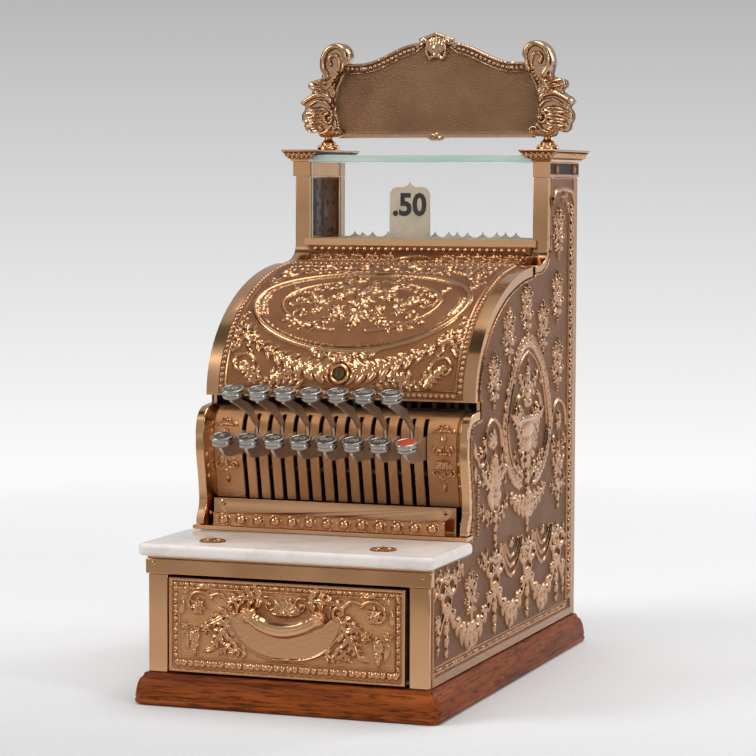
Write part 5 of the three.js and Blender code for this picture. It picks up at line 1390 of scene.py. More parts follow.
def inward_line(outline, step, keep):
    """The stretch of an outline that keep accepts, moved inwards by a step and ordered along x."""
    points = np.asarray(outline, float)
    edge = np.roll(points, -1, axis=0) - np.roll(points, 1, axis=0)
    length = np.maximum(np.linalg.norm(edge, axis=1), 1e-9)[:, None]
    normal = np.stack([-edge[:, 1], edge[:, 0]], 1) / length
    if inside_distance(*(points + normal * 0.5).T, points)[0].mean() < 0:
        normal = -normal
    moved = (points + normal * step)[keep(points)]
    return moved[np.argsort(moved[:, 0])]


def sign_ornament(outline):
    """The sign's drawing: beads and a line inside the top edge, a line along the foot, and the palmette."""
    low, high = outline.min(0), outline.max(0)
    r = Relief(low[0], high[0], low[1], high[1], SIGN_CELL)
    top = inward_line(outline, 5.2, lambda p: (p[:, 1] > 513) & (abs(p[:, 0]) > 16))
    for hand in (-1, 1):
        some = top[top[:, 0] * hand > 0]
        r.beads(some, 4.4, 1.7, 1.7)
        under = some - (0, 3.6)
        r.ridge(under, 0.8, 0.8, 1.1)
    r.ridge([(-high[0] + 6, low[1] + 5.4), (high[0] - 6, low[1] + 5.4)], 1.9, 1.9, 1.5)
    r.palmette(0, 521, 90, 19, 2.6, 7, 80)
    r.dome(0, 526, 3.6, 4.6, 3.4)
    for hand in (-1, 1):
        r.ridge(curve([(hand * 13, 536), (hand * 8, 531), (hand * 9, 524), (hand * 6, 517)]), 2.2, 1.3, 3.2)
        r.spiral(hand * 12.5, 532.5, 3.8, 90, 1.0, 1.3, 3.0, -hand)
        r.leaf(hand * 3, 521, -90 + hand * 34, 7, 3.4, 2.4)
        r.leaf(hand * 66, 512, 270 + hand * 24, 6, 2.6, 1.7)
        r.leaf(hand * 69, 512, 270 - hand * 10, 5, 2.4, 1.6)
        r.leaf(hand * 2, low[1] + 4, 90 - hand * 90, 9, 3.6, 2.0)
    r.dome(0, low[1] + 4, 3.2, 3.4, 2.8)
    return r


for side, hand in LOOKS:
    outline = flat_outline("marquee_sign", 1, hand)[:, [0, 2]]
    carrier = node_box("marquee_sign")[0 if hand < 0 else 1][1]
    board = relief_shell("sign_relief_" + side, sign_ornament(outline), outline,
                         lambda u, v, h: (u, carrier + hand * h, v), ground=0.2, rim=(SIGN_RIM, 1.5))
    settle(board, GREY_CAST)
settle(eased("marquee_sign", "marquee_sign_eased", 0.5), BRASS, "cabinet", "cast_brass", "marquee_sign")


CONSOLE_EDGE = [(95.5, 449.2), (104, 448.9), (109, 450), (112, 454), (118, 452.8), (122.5, 455.5),
                (123.4, 460), (125.6, 464), (125.4, 470), (122.6, 474.5), (125.6, 478.5), (124.6, 482.5),
                (119.5, 485.6),
                (116, 489), (119.6, 493), (118.6, 498), (112.5, 500), (107, 502), (107.6, 508), (108, 515),
                (106.4, 521.5), (103, 527.5), (97, 531.8), (90, 532.4), (84, 530), (80.6, 525.5), (80, 520),
                (83, 515.5), (83.5, 510), (86.5, 505), (91, 499.5), (94, 493), (93, 487.5), (95, 482),
                (94.4, 476), (95.6, 470), (92.8, 465), (92, 460), (87.5, 457.4), (86, 453), (90, 450.2),
                (95.5, 449.2)]


def console_ornament(outline, side):
    """The console at the side of the sign: side is -1 on the left and 1 on the right."""
    low, high = outline.min(0), outline.max(0)
    r = Relief(low[0], high[0], low[1], high[1], CONSOLE_CELL)

    def at(x, z):
        return side * x, z

    def swing(degrees):
        return degrees if side > 0 else 180 - degrees

    def band(points, start, end, height):
        r.ridge(curve([at(x, z) for x, z in points]), start, end, height)

    band([(86, 507), (83.4, 514), (83.4, 523), (88, 529), (95, 529.6), (101.4, 525.6), (104.6, 518.6),
          (104.4, 510), (100.6, 503)], 2.6, 3.2, 4.6)
    band([(90, 508), (89, 514), (90.5, 520), (95, 521.6), (98.4, 518), (97, 513.6)], 1.6, 1.9, 3.6)
    r.beads([at(89, 506), at(97.6, 494.5)], 3.8, 1.7, 3.4)
    band([(87, 503), (94, 492)], 1.0, 1.0, 2.8)
    for x, z, heading, long in ((99, 497.6, 4, 20), (98, 493, 2, 21), (98, 488.6, -4, 19)):
        r.leaf(*at(x, z), swing(heading), long, 5.4, 3.8)
    band([(96.4, 481), (101, 485.6), (110, 486.6), (118, 483.4), (124, 479.4)], 2.7, 2.1, 4.6)
    band([(97, 475), (102, 480), (110, 481), (117, 477)], 1.7, 1.3, 3.6)
    for x, z, heading, long, wide in ((100, 473, -6, 24, 8), (101, 467.6, -10, 25, 8),
                                      (102, 461.6, -8, 22, 7.6), (103, 456.4, -6, 18, 6)):
        r.leaf(*at(x, z), swing(heading), long, wide, 4.4)
    r.spiral(*at(98.4, 465), 5.4, swing(80), 1.2, 1.9, 4.0, -side)
    r.spiral(*at(90.4, 454.6), 3.9, swing(20), 1.0, 1.5, 3.4, side)
    band([(96, 459), (100, 454.6), (106, 452.4), (112, 456)], 1.8, 1.4, 3.6)
    return r


for side, hand in SIDES:
    node = "sign_finial_" + side
    low, high = node_box(node)
    half_depth = (high[1] - low[1]) / 2
    for face, look in LOOKS:
        outline = curve([(hand * x, z) for x, z in CONSOLE_EDGE])[:-1][::hand]
        carrier = (low if look < 0 else high)[1] - 1.2 * look
        console = relief_shell("console_" + side + "_" + face, console_ornament(outline, hand), outline,
                               lambda u, v, h: (u, carrier + look * h, v), ground=-2.0, edge=-3.0,
                               sink=half_depth - 0.4, pillow=(5.0, 2.6))
        settle(console, GREY_CAST, "cabinet", "cast_brass", node)
print("sign and consoles dressed")

# %% [markdown]
# The plinth and the marble shelf are the same kind of thing: a section carried round a rectangle with
# rounded corners. The plinth's section is an ogee run with a router, the marble's a plain half round. Its
# cells keep the board they belong to, so the wood grain turns at each mitred corner.

# %% Plinth and marble shelf
CORNER_STEPS = 6


def rounded_ring(low, high, radius, inset):
    """Points round a rectangle shrunk by inset, anticlockwise from the front right corner."""
    r = max(radius - inset, 0.6)
    x0, y0, x1, y1 = low[0] + inset, low[1] + inset, high[0] - inset, high[1] - inset
    corners = ((x1 - r, y0 + r, -90), (x1 - r, y1 - r, 0), (x0 + r, y1 - r, 90), (x0 + r, y0 + r, 180))
    line = []
    for cx, cy, start in corners:
        for k in range(CORNER_STEPS + 1):
            line.append(np.array([cx, cy]) + r * direction(start + 90 * k / CORNER_STEPS))
    return np.array(line)


def moulded_slab(name, low, high, radius, section):
    """A closed slab: section is a list of (inset, z) from the underside up to the top."""
    rings = [rounded_ring(low, high, radius, inset) for inset, _ in section]
    count = len(rings[0])
    heights = np.repeat([z for _, z in section], count)
    points = np.column_stack([np.concatenate(rings), heights])
    return new_piece(name, points, ring_faces(len(section), count), degrees=34)


def arc_section(inset, z, reach, rise, first, last, steps=6):
    """A quarter round between two directions, for use inside a section."""
    angle = np.radians(np.linspace(first, last, steps))
    return [(inset - reach * math.cos(a), z + rise * math.sin(a)) for a in angle]


low, high = node_box("plinth")
toe, shoulder, top_inset = 2.0, 5.5, 8.5
plinth_section = ([(toe + 1.2, 0.0), (toe + 0.3, 0.5)] + arc_section(2.2, 3.2, 2.0, 2.2, -60, 60, 7)
                  + [(0.6, 6.6), (1.1, 10.0), (1.8, 14.0), (2.8, 17.2)]
                  + arc_section(shoulder + 2.4, 18.2, 4.4, 3.2, 0, 62, 6) + [(top_inset - 1.6, 22.2)]
                  + arc_section(top_inset + 1.0, 22.8, 2.2, 2.1, 0, 90, 6))
plinth = moulded_slab("plinth_moulding", low, high, 10.0, plinth_section)
settle(plinth, MAHOGANY_SIDE, "cabinet", "mahogany", "plinth")
plinth.data.materials.append(MAHOGANY_FRONT)
for face in plinth.data.polygons:
    face.material_index = int(abs(face.normal.y) > abs(face.normal.x))

low, high = node_box("marble_shelf")
MARBLE_EDGE = 3.5
marble_section = ([(MARBLE_EDGE, low[2])]
                  + arc_section(MARBLE_EDGE, low[2] + MARBLE_EDGE, MARBLE_EDGE, MARBLE_EDGE, -70, 0, 5)
                  + arc_section(MARBLE_EDGE, high[2] - MARBLE_EDGE, MARBLE_EDGE, MARBLE_EDGE, 0, 90, 7))
shelf = moulded_slab("marble_shelf_polished", low, high, 8.0, marble_section)
settle(shelf, MARBLE, "cabinet", "marble", "marble_shelf")
print(plinth.name, len(plinth.data.polygons), shelf.name, len(shelf.data.polygons))

# %% [markdown]
# Small round fittings come next: flower bosses on the marble and the cornice, slotted screws, the feet of
# the sign's consoles and the lid lock. Bosses are cast, so they are little reliefs with a round outline.
# The others are turned on a lathe, so they are profiles spun round an axis.

# %% Bosses, screws, feet and lock
def axes_for(axis):
    """Three directions at right angles: the third is the axis, the first is level."""
    return aimed(np.eye(3), axis)


def patera(name, place, axis, radius, petals, cell, height=1.8):
    """A round flower boss: two rings of petals and a beaded rim."""
    across, up, out = axes_for(axis)
    r = Relief(-radius, radius, -radius, radius, cell)
    t = np.radians(np.linspace(0, 360, 33))
    r.beads(np.stack([np.cos(t), np.sin(t)], 1) * radius * 0.88, radius * 0.24, radius * 0.1, height * 0.6)
    r.rosette(0, 0, radius * 0.76, petals, height)
    r.rosette(0, 0, radius * 0.42, petals - 1, height * 1.3, 90 + 180 / petals)
    outline = np.stack([np.cos(t[:-1]), np.sin(t[:-1])], 1) * radius

    def spread(u, v, h):
        points = np.asarray(place, float) + np.outer(u, across) + np.outer(v, up) + np.outer(h, out)
        return points.T

    return relief_shell(name, r, outline, spread, ground=0.6, sink=0.6, edge=0.2)


SCREW_RISE = 0.42
SLOT_SHARE, SLOT_HALF = 0.86, 0.28


def screw_head(name, place, axis, radius, turn):
    """A round head with a sawn slot: a domed lathe turn, and a near-black solid in its slot as painted shade.
    """
    across, up, out = axes_for(axis)
    angle = np.radians(np.linspace(0, 86, 7))
    crown = [(radius * math.cos(a), 0.1 + SCREW_RISE * radius * math.sin(a)) for a in angle]
    head = lathe(name, [(radius, -0.6), (radius, 0.1)] + crown, 24, np.stack([across, up, out]), place)
    settle(head, BRASS, slot="steel")
    along = across * math.cos(turn) + up * math.sin(turn)
    side = np.cross(out, along)
    s = np.linspace(-1, 1, 9)
    lift = 0.12 + SCREW_RISE * radius * np.sqrt(1 - (s * SLOT_SHARE) ** 2)
    middle = np.asarray(place) + np.outer(s * (radius * SLOT_SHARE), along) + np.outer(lift, out)
    rails = [middle + side * w for w in (-SLOT_HALF, SLOT_HALF)]
    lower = [rail - 0.5 * out for rail in rails]
    rows = np.concatenate([rails[0], rails[1], lower[1], lower[0]])
    n = len(s)
    strips = [[a * n + k, a * n + k + 1, b * n + k + 1, b * n + k]
              for a, b in ((1, 0), (2, 1), (3, 2), (0, 3)) for k in range(n - 1)]
    strips += [[0, 3 * n, 2 * n, n], [2 * n - 1, 3 * n - 1, 4 * n - 1, n - 1]]
    settle(new_piece(name + "_slot", rows, strips), PAINTED_HOLE_SHADE, slot="steel")


shelf_top = high[2]
MARBLE_BOSS = (71.0, 22.0)
CORNICE_BOSS_D = (332.0, 386.0)
CORNICE_BOSS_Z, FLARE_REACH = 420.6, 7.3
TILL_SCREW = (95.5, 101.5, 148.5)
LINTEL_SCREW = (111.0, -1.5, 111.3)
CONSOLE_FOOT = (102.0, 358.6, 437.7)
FOOT_PROFILE = [(0.5, 0), (9.6, 0), (10.2, 1.2), (9.6, 2.6), (7.2, 3.4), (6.4, 5.0), (6.9, 6.4), (5.0, 7.6),
                (3.6, 9.4), (3.5, 11.2), (5.2, 12.6), (5.9, 14.4), (5.0, 16.4), (4.2, 18.5)]
FOOT_BEADS, FOOT_BEAD_REACH, FOOT_BEAD_Z = 14, 7.9, 440.7
FRONTWARDS = (0, -1, 0)
for word, side in SIDES:
    boss = patera("marble_boss_" + word, (side * MARBLE_BOSS[0], MARBLE_BOSS[1], shelf_top), (0, 0, 1), 10.5,
                  8, 0.5, 1.7)
    settle(boss, CAST, "cabinet", "polished_brass")
    block_x = node_box("cornice_" + word)[0 if side < 0 else 1][0] - side * FLARE_REACH
    for k, d in enumerate(CORNICE_BOSS_D):
        boss = patera(f"cornice_boss_{word}_{k + 1}", (block_x, d, CORNICE_BOSS_Z), (side, 0, 0), 5.0, 6,
                      0.4, 1.3)
        settle(boss, CAST)
    screw_head("till_screw_" + word, TILL_SCREW * np.array([side, 1, 1]), FRONTWARDS, 2.7, 0.7 * side)
    screw_head("lintel_screw_" + word, LINTEL_SCREW * np.array([side, 1, 1]), FRONTWARDS, 1.9, 0.4 + side)
    foot_place = CONSOLE_FOOT * np.array([side, 1, 1])
    foot = lathe("console_foot_" + word, FOOT_PROFILE, 28, np.eye(3), foot_place, degrees=50)
    settle(foot, BRASS)
    bead, bead_faces = turned(bead_profile(1.7, 1.6, 4, 0.8), 10)
    ring = [(*foot_place[:2] + FOOT_BEAD_REACH * direction(360 * k / FOOT_BEADS), FOOT_BEAD_Z)
            for k in range(FOOT_BEADS)]
    points, faces = repeated(bead, bead_faces, ring)
    settle(new_piece("console_foot_beads_" + word, points, faces), BRASS)

LOCK_DEGREES = 10.8
angle = math.radians(LOCK_DEGREES)
lock_place = np.array([0, LID_CENTRE[0] - LID_REACH[0] * math.cos(angle),
                       LID_CENTRE[1] + LID_REACH[1] * math.sin(angle)])
lock_axis = np.array([0, -LID_REACH[1] * math.cos(angle), LID_REACH[0] * math.sin(angle)])
lock_axis /= np.linalg.norm(lock_axis)
basis = np.stack(axes_for(lock_axis))
ring_profile = [(5.4, -0.5), (8.4, -0.5), (8.6, 1.6), (8.0, 2.8), (6.9, 3.3), (6.0, 2.9), (5.5, 1.9)]
points, faces = turned(ring_profile + [(5.4, -0.4)], 40)
settle(new_piece("lock_ring", points @ basis + lock_place, faces[:-2]), BRASS, "lid", "polished_brass")
barrel_profile = [(4.9, -9), (4.9, 2.2), (4.5, 2.9), (3.6, 3.1), (3.4, 2.7), (1.2, 2.7)]
barrel = lathe("lock_barrel", barrel_profile, 36, basis, lock_place)
settle(barrel, LOCK_CAST, "lid_lock", "polished_brass", "lid_lock")
HOLE_STEPS = 24
t = np.radians(np.linspace(0, 360, HOLE_STEPS + 1)[:-1])
hole = np.stack([2.9 * np.sign(np.sin(t)) * np.abs(np.sin(t)) ** 0.5, -1.1 * np.cos(t)], 1)
rows = np.concatenate([np.column_stack([hole, np.full(HOLE_STEPS, z)]) for z in (2.0, 2.85)])
# The keyhole is a near-black solid: painted shade of the hole.
keyhole = new_piece("lock_keyhole", rows @ basis + lock_place, ring_faces(2, HOLE_STEPS))
settle(keyhole, PAINTED_HOLE_SHADE, "lid_lock", "polished_brass")
print("round fittings done")

# %% [markdown]
# The handle is a heavy crescent with a leaf-lapped knob at each end. Its section is an ellipse that is
# fullest in the middle and again at the knobs, with shallow flutes round it. It hangs in front of the
# bare crescent.

# %% Drawer handle
def swept(line, half_up, half_out, steps, flutes, depth):
    """A tube along a line: an ellipse at each place, fluted by 1 + depth * cos(flutes * a)."""
    line = np.asarray(line, float)
    run = np.gradient(line, axis=0)
    run /= np.linalg.norm(run, axis=1)[:, None]
    out = np.array([0.0, 1.0, 0.0]) - run * run[:, 1:2]
    out /= np.linalg.norm(out, axis=1)[:, None]
    up = np.cross(run, out)
    a = 2 * np.pi * np.arange(steps) / steps
    ripple = 1 + depth * np.cos(flutes * a)
    rings = (line[:, None] + up[:, None] * (half_up[:, None] * np.cos(a) * ripple)[..., None]
             + out[:, None] * (half_out[:, None] * np.sin(a) * ripple)[..., None])
    n = len(line)
    walls, ends = ring_faces(n, steps)[:-2], ring_faces(n, steps)[-2:]
    faces = [[a, d, c, b] for a, b, c, d in walls] + [end[::-1] for end in ends]
    points = rings.reshape(-1, 3)
    middle = points[faces[0]].mean(0) - line[:2].mean(0)
    normal = np.cross(points[faces[0][1]] - points[faces[0][0]], points[faces[0][2]] - points[faces[0][1]])
    return points, faces if middle @ normal > 0 else [face[::-1] for face in faces]


PULL_HALF = 31.5
PULL_END_Z = 77.6
PULL_SAG = 12.0
PULL_FRONT, PULL_RETURN = -10.4, 6.2
s = np.sin(np.linspace(-90, 90, 73) * np.pi / 180)
pull_line = np.stack([PULL_HALF * s, PULL_FRONT + PULL_RETURN * np.abs(s) ** 5,
                      PULL_END_Z - PULL_SAG * (1 - s ** 2)], 1)
knob = np.exp(-((np.abs(s) - 0.9) / 0.07) ** 2)
tip = np.sqrt(np.clip(1 - np.abs(s) ** 40, 0.02, 1))
lap = 1 + 0.1 * np.abs(np.sin(9 * np.pi * s)) * (np.abs(s) > 0.5)
half_up = (3.8 + 2.1 * (1 - s ** 2) + 2.6 * knob) * tip * lap
half_out = (2.5 + 1.2 * (1 - s ** 2) + 2.0 * knob) * tip * lap
points, faces = swept(pull_line, half_up, half_out, 30, 6, 0.06)
pull = new_piece("drawer_pull", points, faces, degrees=60)
settle(pull, BRASS, "drawer", "polished_brass")
ball, ball_faces = turned(ball_profile(), 16)
knobs = []
KNOB_PLACE = (29.6, -7.0, 77.2)
KNOB_PETALS = 7
for side in (-1, 1):
    middle = KNOB_PLACE * np.array([side, 1, 1])
    knobs.append((ball * 5.4 + middle, ball_faces))
    knobs.append((ball * 1.5 + middle + (0, -4.9, 0), ball_faces))
    for k in range(KNOB_PETALS):
        c, s = direction(360 * k / KNOB_PETALS)
        knobs.append((ball * (1.5, 1.3, 1.5) + middle + (3.3 * c, -3.9, 3.3 * s), ball_faces))
points, faces = merged(*knobs)
settle(new_piece("drawer_pull_knobs", points, faces, degrees=60), BRASS, "drawer", "polished_brass")
print(pull.name, len(pull.data.polygons))

# %% [markdown]
# Below the keys runs the till strip: a plain polished band over a stippled channel with a row of round
# bosses. The key plate itself is stippled, with a drop of husks and flowers at each end, and a chain of
# beads runs down the inside of each key frame. The plate is curved, so its drops are drawn flat and bent
# to the plate's section, which is read from the packed solid: the foremost point at each height.

# %% Key bank trim
def front_section(node, first, last, step=2.0):
    """Foremost place of a solid at even heights, as (d, z) rows."""
    points = mesh_places(bpy.data.objects[node].data)
    heights = np.unique(points[:, 2].round(1))
    front = np.array([points[np.abs(points[:, 2] - z) < 0.06, 1].min() for z in heights])
    z = np.arange(first, last, step)
    return np.column_stack([np.interp(z, heights, front), z])


low, high = node_box("keycheck_plate")
plate_rows = front_section("keycheck_plate", 154.0, high[2] - 2.5)
plate_table = section_table(plate_rows)
DROP_X, DROP_HALF = 93.0, 10.4
FRAME_BEAD_X = 107.6
for word, side in SIDES:
    middle = side * DROP_X
    r = Relief(middle - DROP_HALF, middle + DROP_HALF, 1.0, plate_table[0][-1] - 1.0, 0.5)
    top = plate_table[0][-1] - 6
    r.palmette(middle, top - 9, 90, 9.4, 2.6, 7, 200)
    r.leaf(middle, top - 10, -90, 14, 5.6, 3.0)
    r.palmette(middle, top - 30, 90, 8.4, 2.6, 5, 190)
    r.rosette(middle, top - 41, 8.6, 8, 2.9)
    r.rosette(middle, top - 52, 6.4, 6, 2.8)
    r.leaf(middle, top - 56, -90, 10, 4.4, 2.6)
    for hand in (-1, 1):
        for drop, reach in ((10, 6.4), (27, 6.0), (48, 6.6)):
            r.spiral(middle + hand * reach, top - drop, 3.2, 90, 1.0, 1.3, 2.6, -hand)
    drop = bent_shell("key_plate_drop_" + word, r, bent_place(*plate_table), ground=0.15, edge=0.02)
    settle(drop, PAINTED_BRIGHT_CAST)
    frame_rows = front_section("key_frame_" + word, 135.0, 221.0, 4.4)
    bead, bead_faces = turned(ball_profile(1.75), 10)
    spots = np.column_stack([np.full(len(frame_rows), side * FRAME_BEAD_X), frame_rows + (3.0, 0)])
    points, faces = repeated(bead, bead_faces, spots)
    settle(new_piece("key_frame_beads_" + word, points, faces), BRASS)

strip_front = node_box("till_strip")[0][1]
BOSS_COUNT = 13
BOSS_PITCH = 14.8
BOSS_Z = 136.6
STRIP_LOW, STRIP_HIGH = (-98.5, 131.2), (98.5, 142.2)
r = Relief(STRIP_LOW[0], STRIP_HIGH[0], STRIP_LOW[1], STRIP_HIGH[1], 0.55)
for k in range(BOSS_COUNT):
    x = (k - (BOSS_COUNT - 1) / 2) * BOSS_PITCH
    r.oval(x, BOSS_Z, 4.9, 4.6, 0.7, 1.2)
    r.dome(x, BOSS_Z, 4.1, 3.9, 4.0)
channel = relief_shell("till_strip_channel", r, rectangle(STRIP_LOW, STRIP_HIGH),
                       lambda u, v, h: (u, strip_front - h, v), ground=0.2, rim=(0.8, 0.9))
settle(channel, PAINTED_BRIGHT_CAST)
settle(eased("till_strip", "till_strip_eased", 0.35), BRASS, "cabinet", "polished_brass", "till_strip")
settle(eased("key_shaft", "key_shaft_eased", 0.3), STEEL, "cabinet", "steel", "key_shaft")
print("key bank trim done")

# %% [markdown]
# A key is a steel lever punched from plate, with a nickel cup pressed on its end. The cup holds a printed
# disc under its rim. The levers keep the packed shape. The cup is turned a little larger than the packed
# one and hides it, with a rolled rim, a recess for the disc and a rounded foot. The figures are plain
# numbers.

# %% Keys
def text_solid(text, width, height, thick, bold=0.0):
    """Points and faces of a word of figures, centred, scaled to fit a width and height in millimetres."""
    letters = bpy.data.curves.new("figures", "FONT")
    letters.body = text
    letters.extrude = 0.05
    letters.offset = bold
    letters.resolution_u = 3
    holder = bpy.data.objects.new("figures", letters)
    bpy.context.collection.objects.link(holder)
    mesh = bpy.data.meshes.new_from_object(holder.evaluated_get(bpy.context.evaluated_depsgraph_get()))
    work = bmesh.new()
    work.from_mesh(mesh)
    bmesh.ops.remove_doubles(work, verts=work.verts, dist=0.0001)
    work.verts.index_update()
    points = np.array([tuple(v.co) for v in work.verts])
    faces = [[v.index for v in face.verts] for face in work.faces]
    work.free()
    bpy.data.objects.remove(holder)
    bpy.data.curves.remove(letters)
    bpy.data.meshes.remove(mesh)
    low, high = points.min(0), points.max(0)
    points = points - (low + high) / 2
    share = min(width / (high[0] - low[0]), height / (high[1] - low[1]) * 1.25)
    return points * (share, height / (high[1] - low[1]), thick / (high[2] - low[2])), faces


VALUES = (".05", ".10", ".20", ".30", ".40", ".50", ".60", ".70", ".80", ".90", "1.00", "2.00", "3.00",
          "4.00", "5.00")
CAP_TILT = 15.0
CAP_RADIUS = 8.55
CAP_HALF = 3.75
CAP_PLACES = {"upper": (52.4, 242.4), "lower": (57.0, 204.0)}
cap_axis = (0, -math.sin(math.radians(CAP_TILT)), math.cos(math.radians(CAP_TILT)))
cap_basis = np.stack(axes_for(cap_axis))
rim = [(CAP_RADIUS + 0.25 + 0.75 * math.cos(a), CAP_HALF - 0.75 + 0.75 * math.sin(a))
       for a in np.radians(np.linspace(-90, 150, 9))]
cup_profile = ([(5.6, -CAP_HALF - 0.5), (7.2, -CAP_HALF - 0.35), (CAP_RADIUS - 0.2, -CAP_HALF + 0.5),
                (CAP_RADIUS + 0.05, -CAP_HALF + 1.4), (CAP_RADIUS + 0.05, -0.4), (CAP_RADIUS - 0.35, 0.1),
                (CAP_RADIUS - 0.35, 0.6), (CAP_RADIUS + 0.1, 1.1), (CAP_RADIUS + 0.1, CAP_HALF - 1.7)] + rim
               + [(CAP_RADIUS - 0.9, CAP_HALF - 0.5), (CAP_RADIUS - 1.1, CAP_HALF - 0.15)])
disc_profile = [(CAP_RADIUS - 0.9, CAP_HALF - 0.9), (CAP_RADIUS - 1.0, CAP_HALF), (5.0, CAP_HALF + 0.14),
                (1.0, CAP_HALF + 0.2)]
for number, value in enumerate(VALUES, 1):
    node = f"key_{number:02d}"
    x = (node_box(node)[0][0] + node_box(node)[1][0]) / 2
    d, z = CAP_PLACES["upper" if number % 2 == 0 else "lower"]
    settle(eased(node, node + "_lever", 0.4), STEEL, node, "steel", node)
    settle(lathe(node + "_cup", cup_profile, 40, cap_basis, (x, d, z)), NICKEL, node, "nickel")
    bright = number == len(VALUES)
    disc = lathe(node + "_disc", disc_profile, 40, cap_basis, (x, d, z))
    settle(disc, RED_TOP if bright else KEY_TOP, node, "enamel")
    if not bright:
        label = value.replace(".", "").lstrip("0")
        points, faces = text_solid(label, 9.6, 6.2, 0.16, 0.02)
        points = (points + (0, 0, CAP_HALF + 0.2)) @ cap_basis + (x, d, z)
        settle(new_piece(node + "_figures", points, faces), KEY_FIGURE, node, "enamel")
print("keys:", len(VALUES))

# %% [markdown]
# Each key lifts a tablet of enamelled steel into the window. A tablet carries its price on both faces, in
# bold black figures that fill its head. A pane of glass is clear on its faces, and its narrow edges and their
# small bevels get the green finish: they are the faces with a small share of the biggest one's area.

# %% Tablets and glass
FIGURE_WIDTH, FIGURE_HEIGHT, FIGURE_THICK, FIGURE_BOLD = 31.5, 21.0, 0.3, 0.035
FIGURE_BELOW_TOP = 20.5
for number, value in enumerate(VALUES, 1):
    node = f"tablet_{number:02d}"
    low, high = node_box(node)
    settle(eased(node, node + "_plate", 0.25), ENAMEL, node, "enamel", node)
    middle = (low + high) / 2
    sides = []
    for _, look in LOOKS:
        points, faces = text_solid(value, FIGURE_WIDTH, FIGURE_HEIGHT, FIGURE_THICK, FIGURE_BOLD)
        upright = np.column_stack([points[:, 0] * -look, points[:, 2] * -look, points[:, 1]])
        place = (middle[0], low[1] if look < 0 else high[1], high[2] - FIGURE_BELOW_TOP)
        sides.append((upright + place, faces))
    points, faces = merged(*sides)
    settle(new_piece(node + "_figures", points, faces), FIGURE, node, "enamel")


EDGE_SHARE = 0.3
for node in ("front_glass", "rear_glass", "top_glass"):
    pane = eased(node, node + "_pane", 0.35)
    settle(pane, GLASS, "cabinet", "glass", node)
    pane.data.materials.append(GLASS_EDGE)
    biggest = max(face.area for face in pane.data.polygons)
    for face in pane.data.polygons:
        face.material_index = int(face.area < EDGE_SHARE * biggest)
    pane.modifiers["eased edges"].material = 1
print("tablets and panes done")

# %% [markdown]
# The inside cheeks of the window are japanned sheets with rods and knobs on them, which guide the tablet
# rack. The cornice is one moulded block: a flat top, a lip, a flare that comes in to a cove, and an
# upright block. The flare's sides and back, and a thin sheet on the block's outer side, are painted nearly
# black as a painted dark reflection. A row of small leaves follows the front flare, and flutes its outer
# side.

# %% Window cheeks and cornice trim
CHEEK_LOW, CHEEK_HIGH, CHEEK_X = (323, 361), (398, 412.5), 111.6
CHEEK_RODS = ((338, 1.5), (346, 2.1), (368, 1.6))
CHEEK_KNOBS = ((329, 400), (332, 384), (330, 368), (353, 404), (354, 390), (353, 374), (361, 398), (362, 382),
               (361, 367), (376, 404), (380, 391), (377, 377), (384, 366), (390, 398), (391, 382))
BLOCK_X, BLOCK_D = (102.6, 117.8), [312.0, 403.8]
DARK_SHEET_X, DARK_SHEET_D, DARK_SHEET_Z = (117.5, 118.05), (314.2, 401.6), (425.8, 416.2)
CORNICE_LEVELS = [(437.1, 0.0), (436.2, 0.0), (435.8, 0.07), (431.6, 0.42), (428.9, 0.74), (428.5, 0.8),
                  (427.9, 0.82), (427.2, 0.9), (426.8, 1.0), (414.6, 1.0), (414.3, 0.97)]
BAND_LEVELS = (3, 4)
CORNICE_LEAVES, CORNICE_FLUTES = 6, 22
LEAF_PARTS = ((0, 432.3, (1.5, 1.2, 2.5)), (-0.058, 433.4, (0.75, 0.9, 1.7)),
              (0.058, 433.4, (0.75, 0.9, 1.7)), (0, 429.6, (0.9, 0.9, 0.8)),
              (0.083, 430.9, (0.5, 0.8, 1.9)), (0.083, 434.6, (0.8, 0.8, 0.7)))
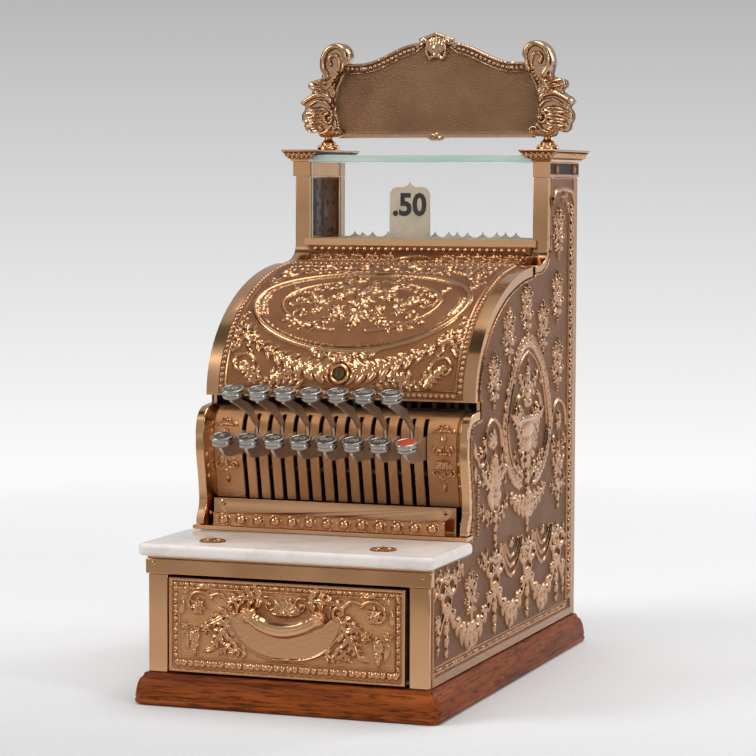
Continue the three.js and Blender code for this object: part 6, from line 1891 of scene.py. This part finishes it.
for word, side in SIDES:
    r = Relief(CHEEK_LOW[0], CHEEK_HIGH[0], CHEEK_LOW[1], CHEEK_HIGH[1], 0.9)
    for d, half in CHEEK_RODS:
        r.ridge([(d, 362), (d, 411.5)], half, half, half * 1.3)
    for d, z in CHEEK_KNOBS:
        r.dome(d, z, 2.8, 2.2, 2.0, 40 * (d % 4))
    cheek = relief_shell("window_cheek_" + word, r, rectangle(CHEEK_LOW, CHEEK_HIGH),
                         lambda u, v, h: (side * (CHEEK_X - h), u, v), ground=0.8, sink=0.0, edge=0.6)
    settle(cheek, CHEEK, "cabinet", "steel")
    low, high = node_box("cornice_" + word)
    block = sorted(side * x for x in BLOCK_X) + BLOCK_D
    edge = [low[0], high[0], low[1], high[1]]
    levels = [(high[2], 0.03)] + CORNICE_LEVELS

    def at_share(share):
        """The section at a share of the way from the lip's rectangle to the block's."""
        return [a + (b - a) * share for a, b in zip(edge, block)]

    cornice = framed("cornice_moulded_" + word, [(*at_share(share), z) for z, share in levels])
    settle(cornice, BRASS, "cabinet", "cast_brass", "cornice_" + word)
    cornice.data.materials.append(CAST)
    cornice.data.materials.append(PAINTED_DARK_REFLECTION)
    # The flare's sides and back take the near-black brass: painted dark reflection.
    for k, face in enumerate(cornice.data.polygons):
        if k // 4 in BAND_LEVELS:
            face.material_index = 1 if k % 4 == 0 else 2
    small, small_faces = turned(ball_profile(1.0, 7), 10)

    def band_place(along, z, front_face):
        """A place on the flare: a share of the way along its front or its outer side, at a height."""
        x0, x1, y0, y1 = at_share(np.interp(z, *np.array(levels[::-1]).T))
        if front_face:
            return np.array([x0 + (x1 - x0) * along, y0, z])
        return np.array([x1 if side > 0 else x0, y0 + (y1 - y0) * along, z])

    leaves = []
    for k in range(CORNICE_LEAVES):
        along = (k + 0.5) / CORNICE_LEAVES
        for shift, z, size in LEAF_PARTS:
            leaves.append((small * size + band_place(along + shift, z, True), small_faces))
    points, faces = merged(*leaves)
    settle(new_piece("cornice_leaves_" + word, points, faces), BRASS)
    rise = band_place(0.5, 434.8, False) - band_place(0.5, 429.6, False)
    flute = small @ np.stack([rise / 2, np.array([0, -side * 1.45, 0]), np.array([side * 1.0, 0, -0.6])])
    spots = [band_place((k + 0.5) / CORNICE_FLUTES, 432.2, False) for k in range(CORNICE_FLUTES)]
    points, faces = repeated(flute, small_faces, spots)
    settle(new_piece("cornice_flutes_" + word, points, faces), BRASS)
    # A thin near-black sheet on the block's outer side: painted dark reflection.
    x0, x1 = sorted(side * x for x in DARK_SHEET_X)
    dark_reflection_sheet = framed("cornice_dark_reflection_" + word, [(x0, x1, *DARK_SHEET_D, z) for z in DARK_SHEET_Z])
    settle(dark_reflection_sheet, PAINTED_DARK_REFLECTION)
print("window and cornice trim done")

# %% [markdown]
# The back is cast from the same pattern as the sides, cut to the width of the case, with its own beaded
# frame.

# %% Rear cover
REAR_SHIFT = WREATH_D
outline = flat_outline("rear_cover", 1, 1)[:, [0, 2]]
outline[:, 0] += REAR_SHIFT
low, high = outline.min(0), outline.max(0)
r = Relief(low[0], high[0], low[1], high[1], 1.25)
oval_wreath(r)
bows_and_drops(r, BOW_PLACES[1:])
for first, last in ((173, 244), (265, 333)):
    r.swag((first, 80), (last, 80), 25, 18, 2.3)
for d, z in ((343, 330), (163, 330), (343, 252), (163, 252), (297, 300), (209, 300), (253, 345), (343, 175),
             (163, 175)):
    r.sprig(d, z, 36, 50, 2.0)
near, far = low + 6, high - 6
for line in ([(near[0], near[1] + 2), (near[0], far[1] - 2)], [(far[0], near[1] + 2), (far[0], far[1] - 2)],
             [(near[0] + 4, near[1]), (far[0] - 4, near[1])], [(near[0] + 4, far[1]), (far[0] - 4, far[1])]):
    r.beads(line, 7.2, 3.0, 2.2, reels=True)
carrier = node_box("rear_cover")[1][1]
back = relief_shell("rear_relief", r, outline, lambda u, v, h: (u - REAR_SHIFT, carrier + h, v),
                    rim=PANEL_RIM)
settle(back, CAST)
print(back.name, len(back.data.polygons))

# %% [markdown]
# A small helper gives a box's corners as plain lists of numbers.

# %% Box corners
def corners(box):
    """A box's corners as plain lists of numbers."""
    return [[float(v) for v in corner] for corner in box]
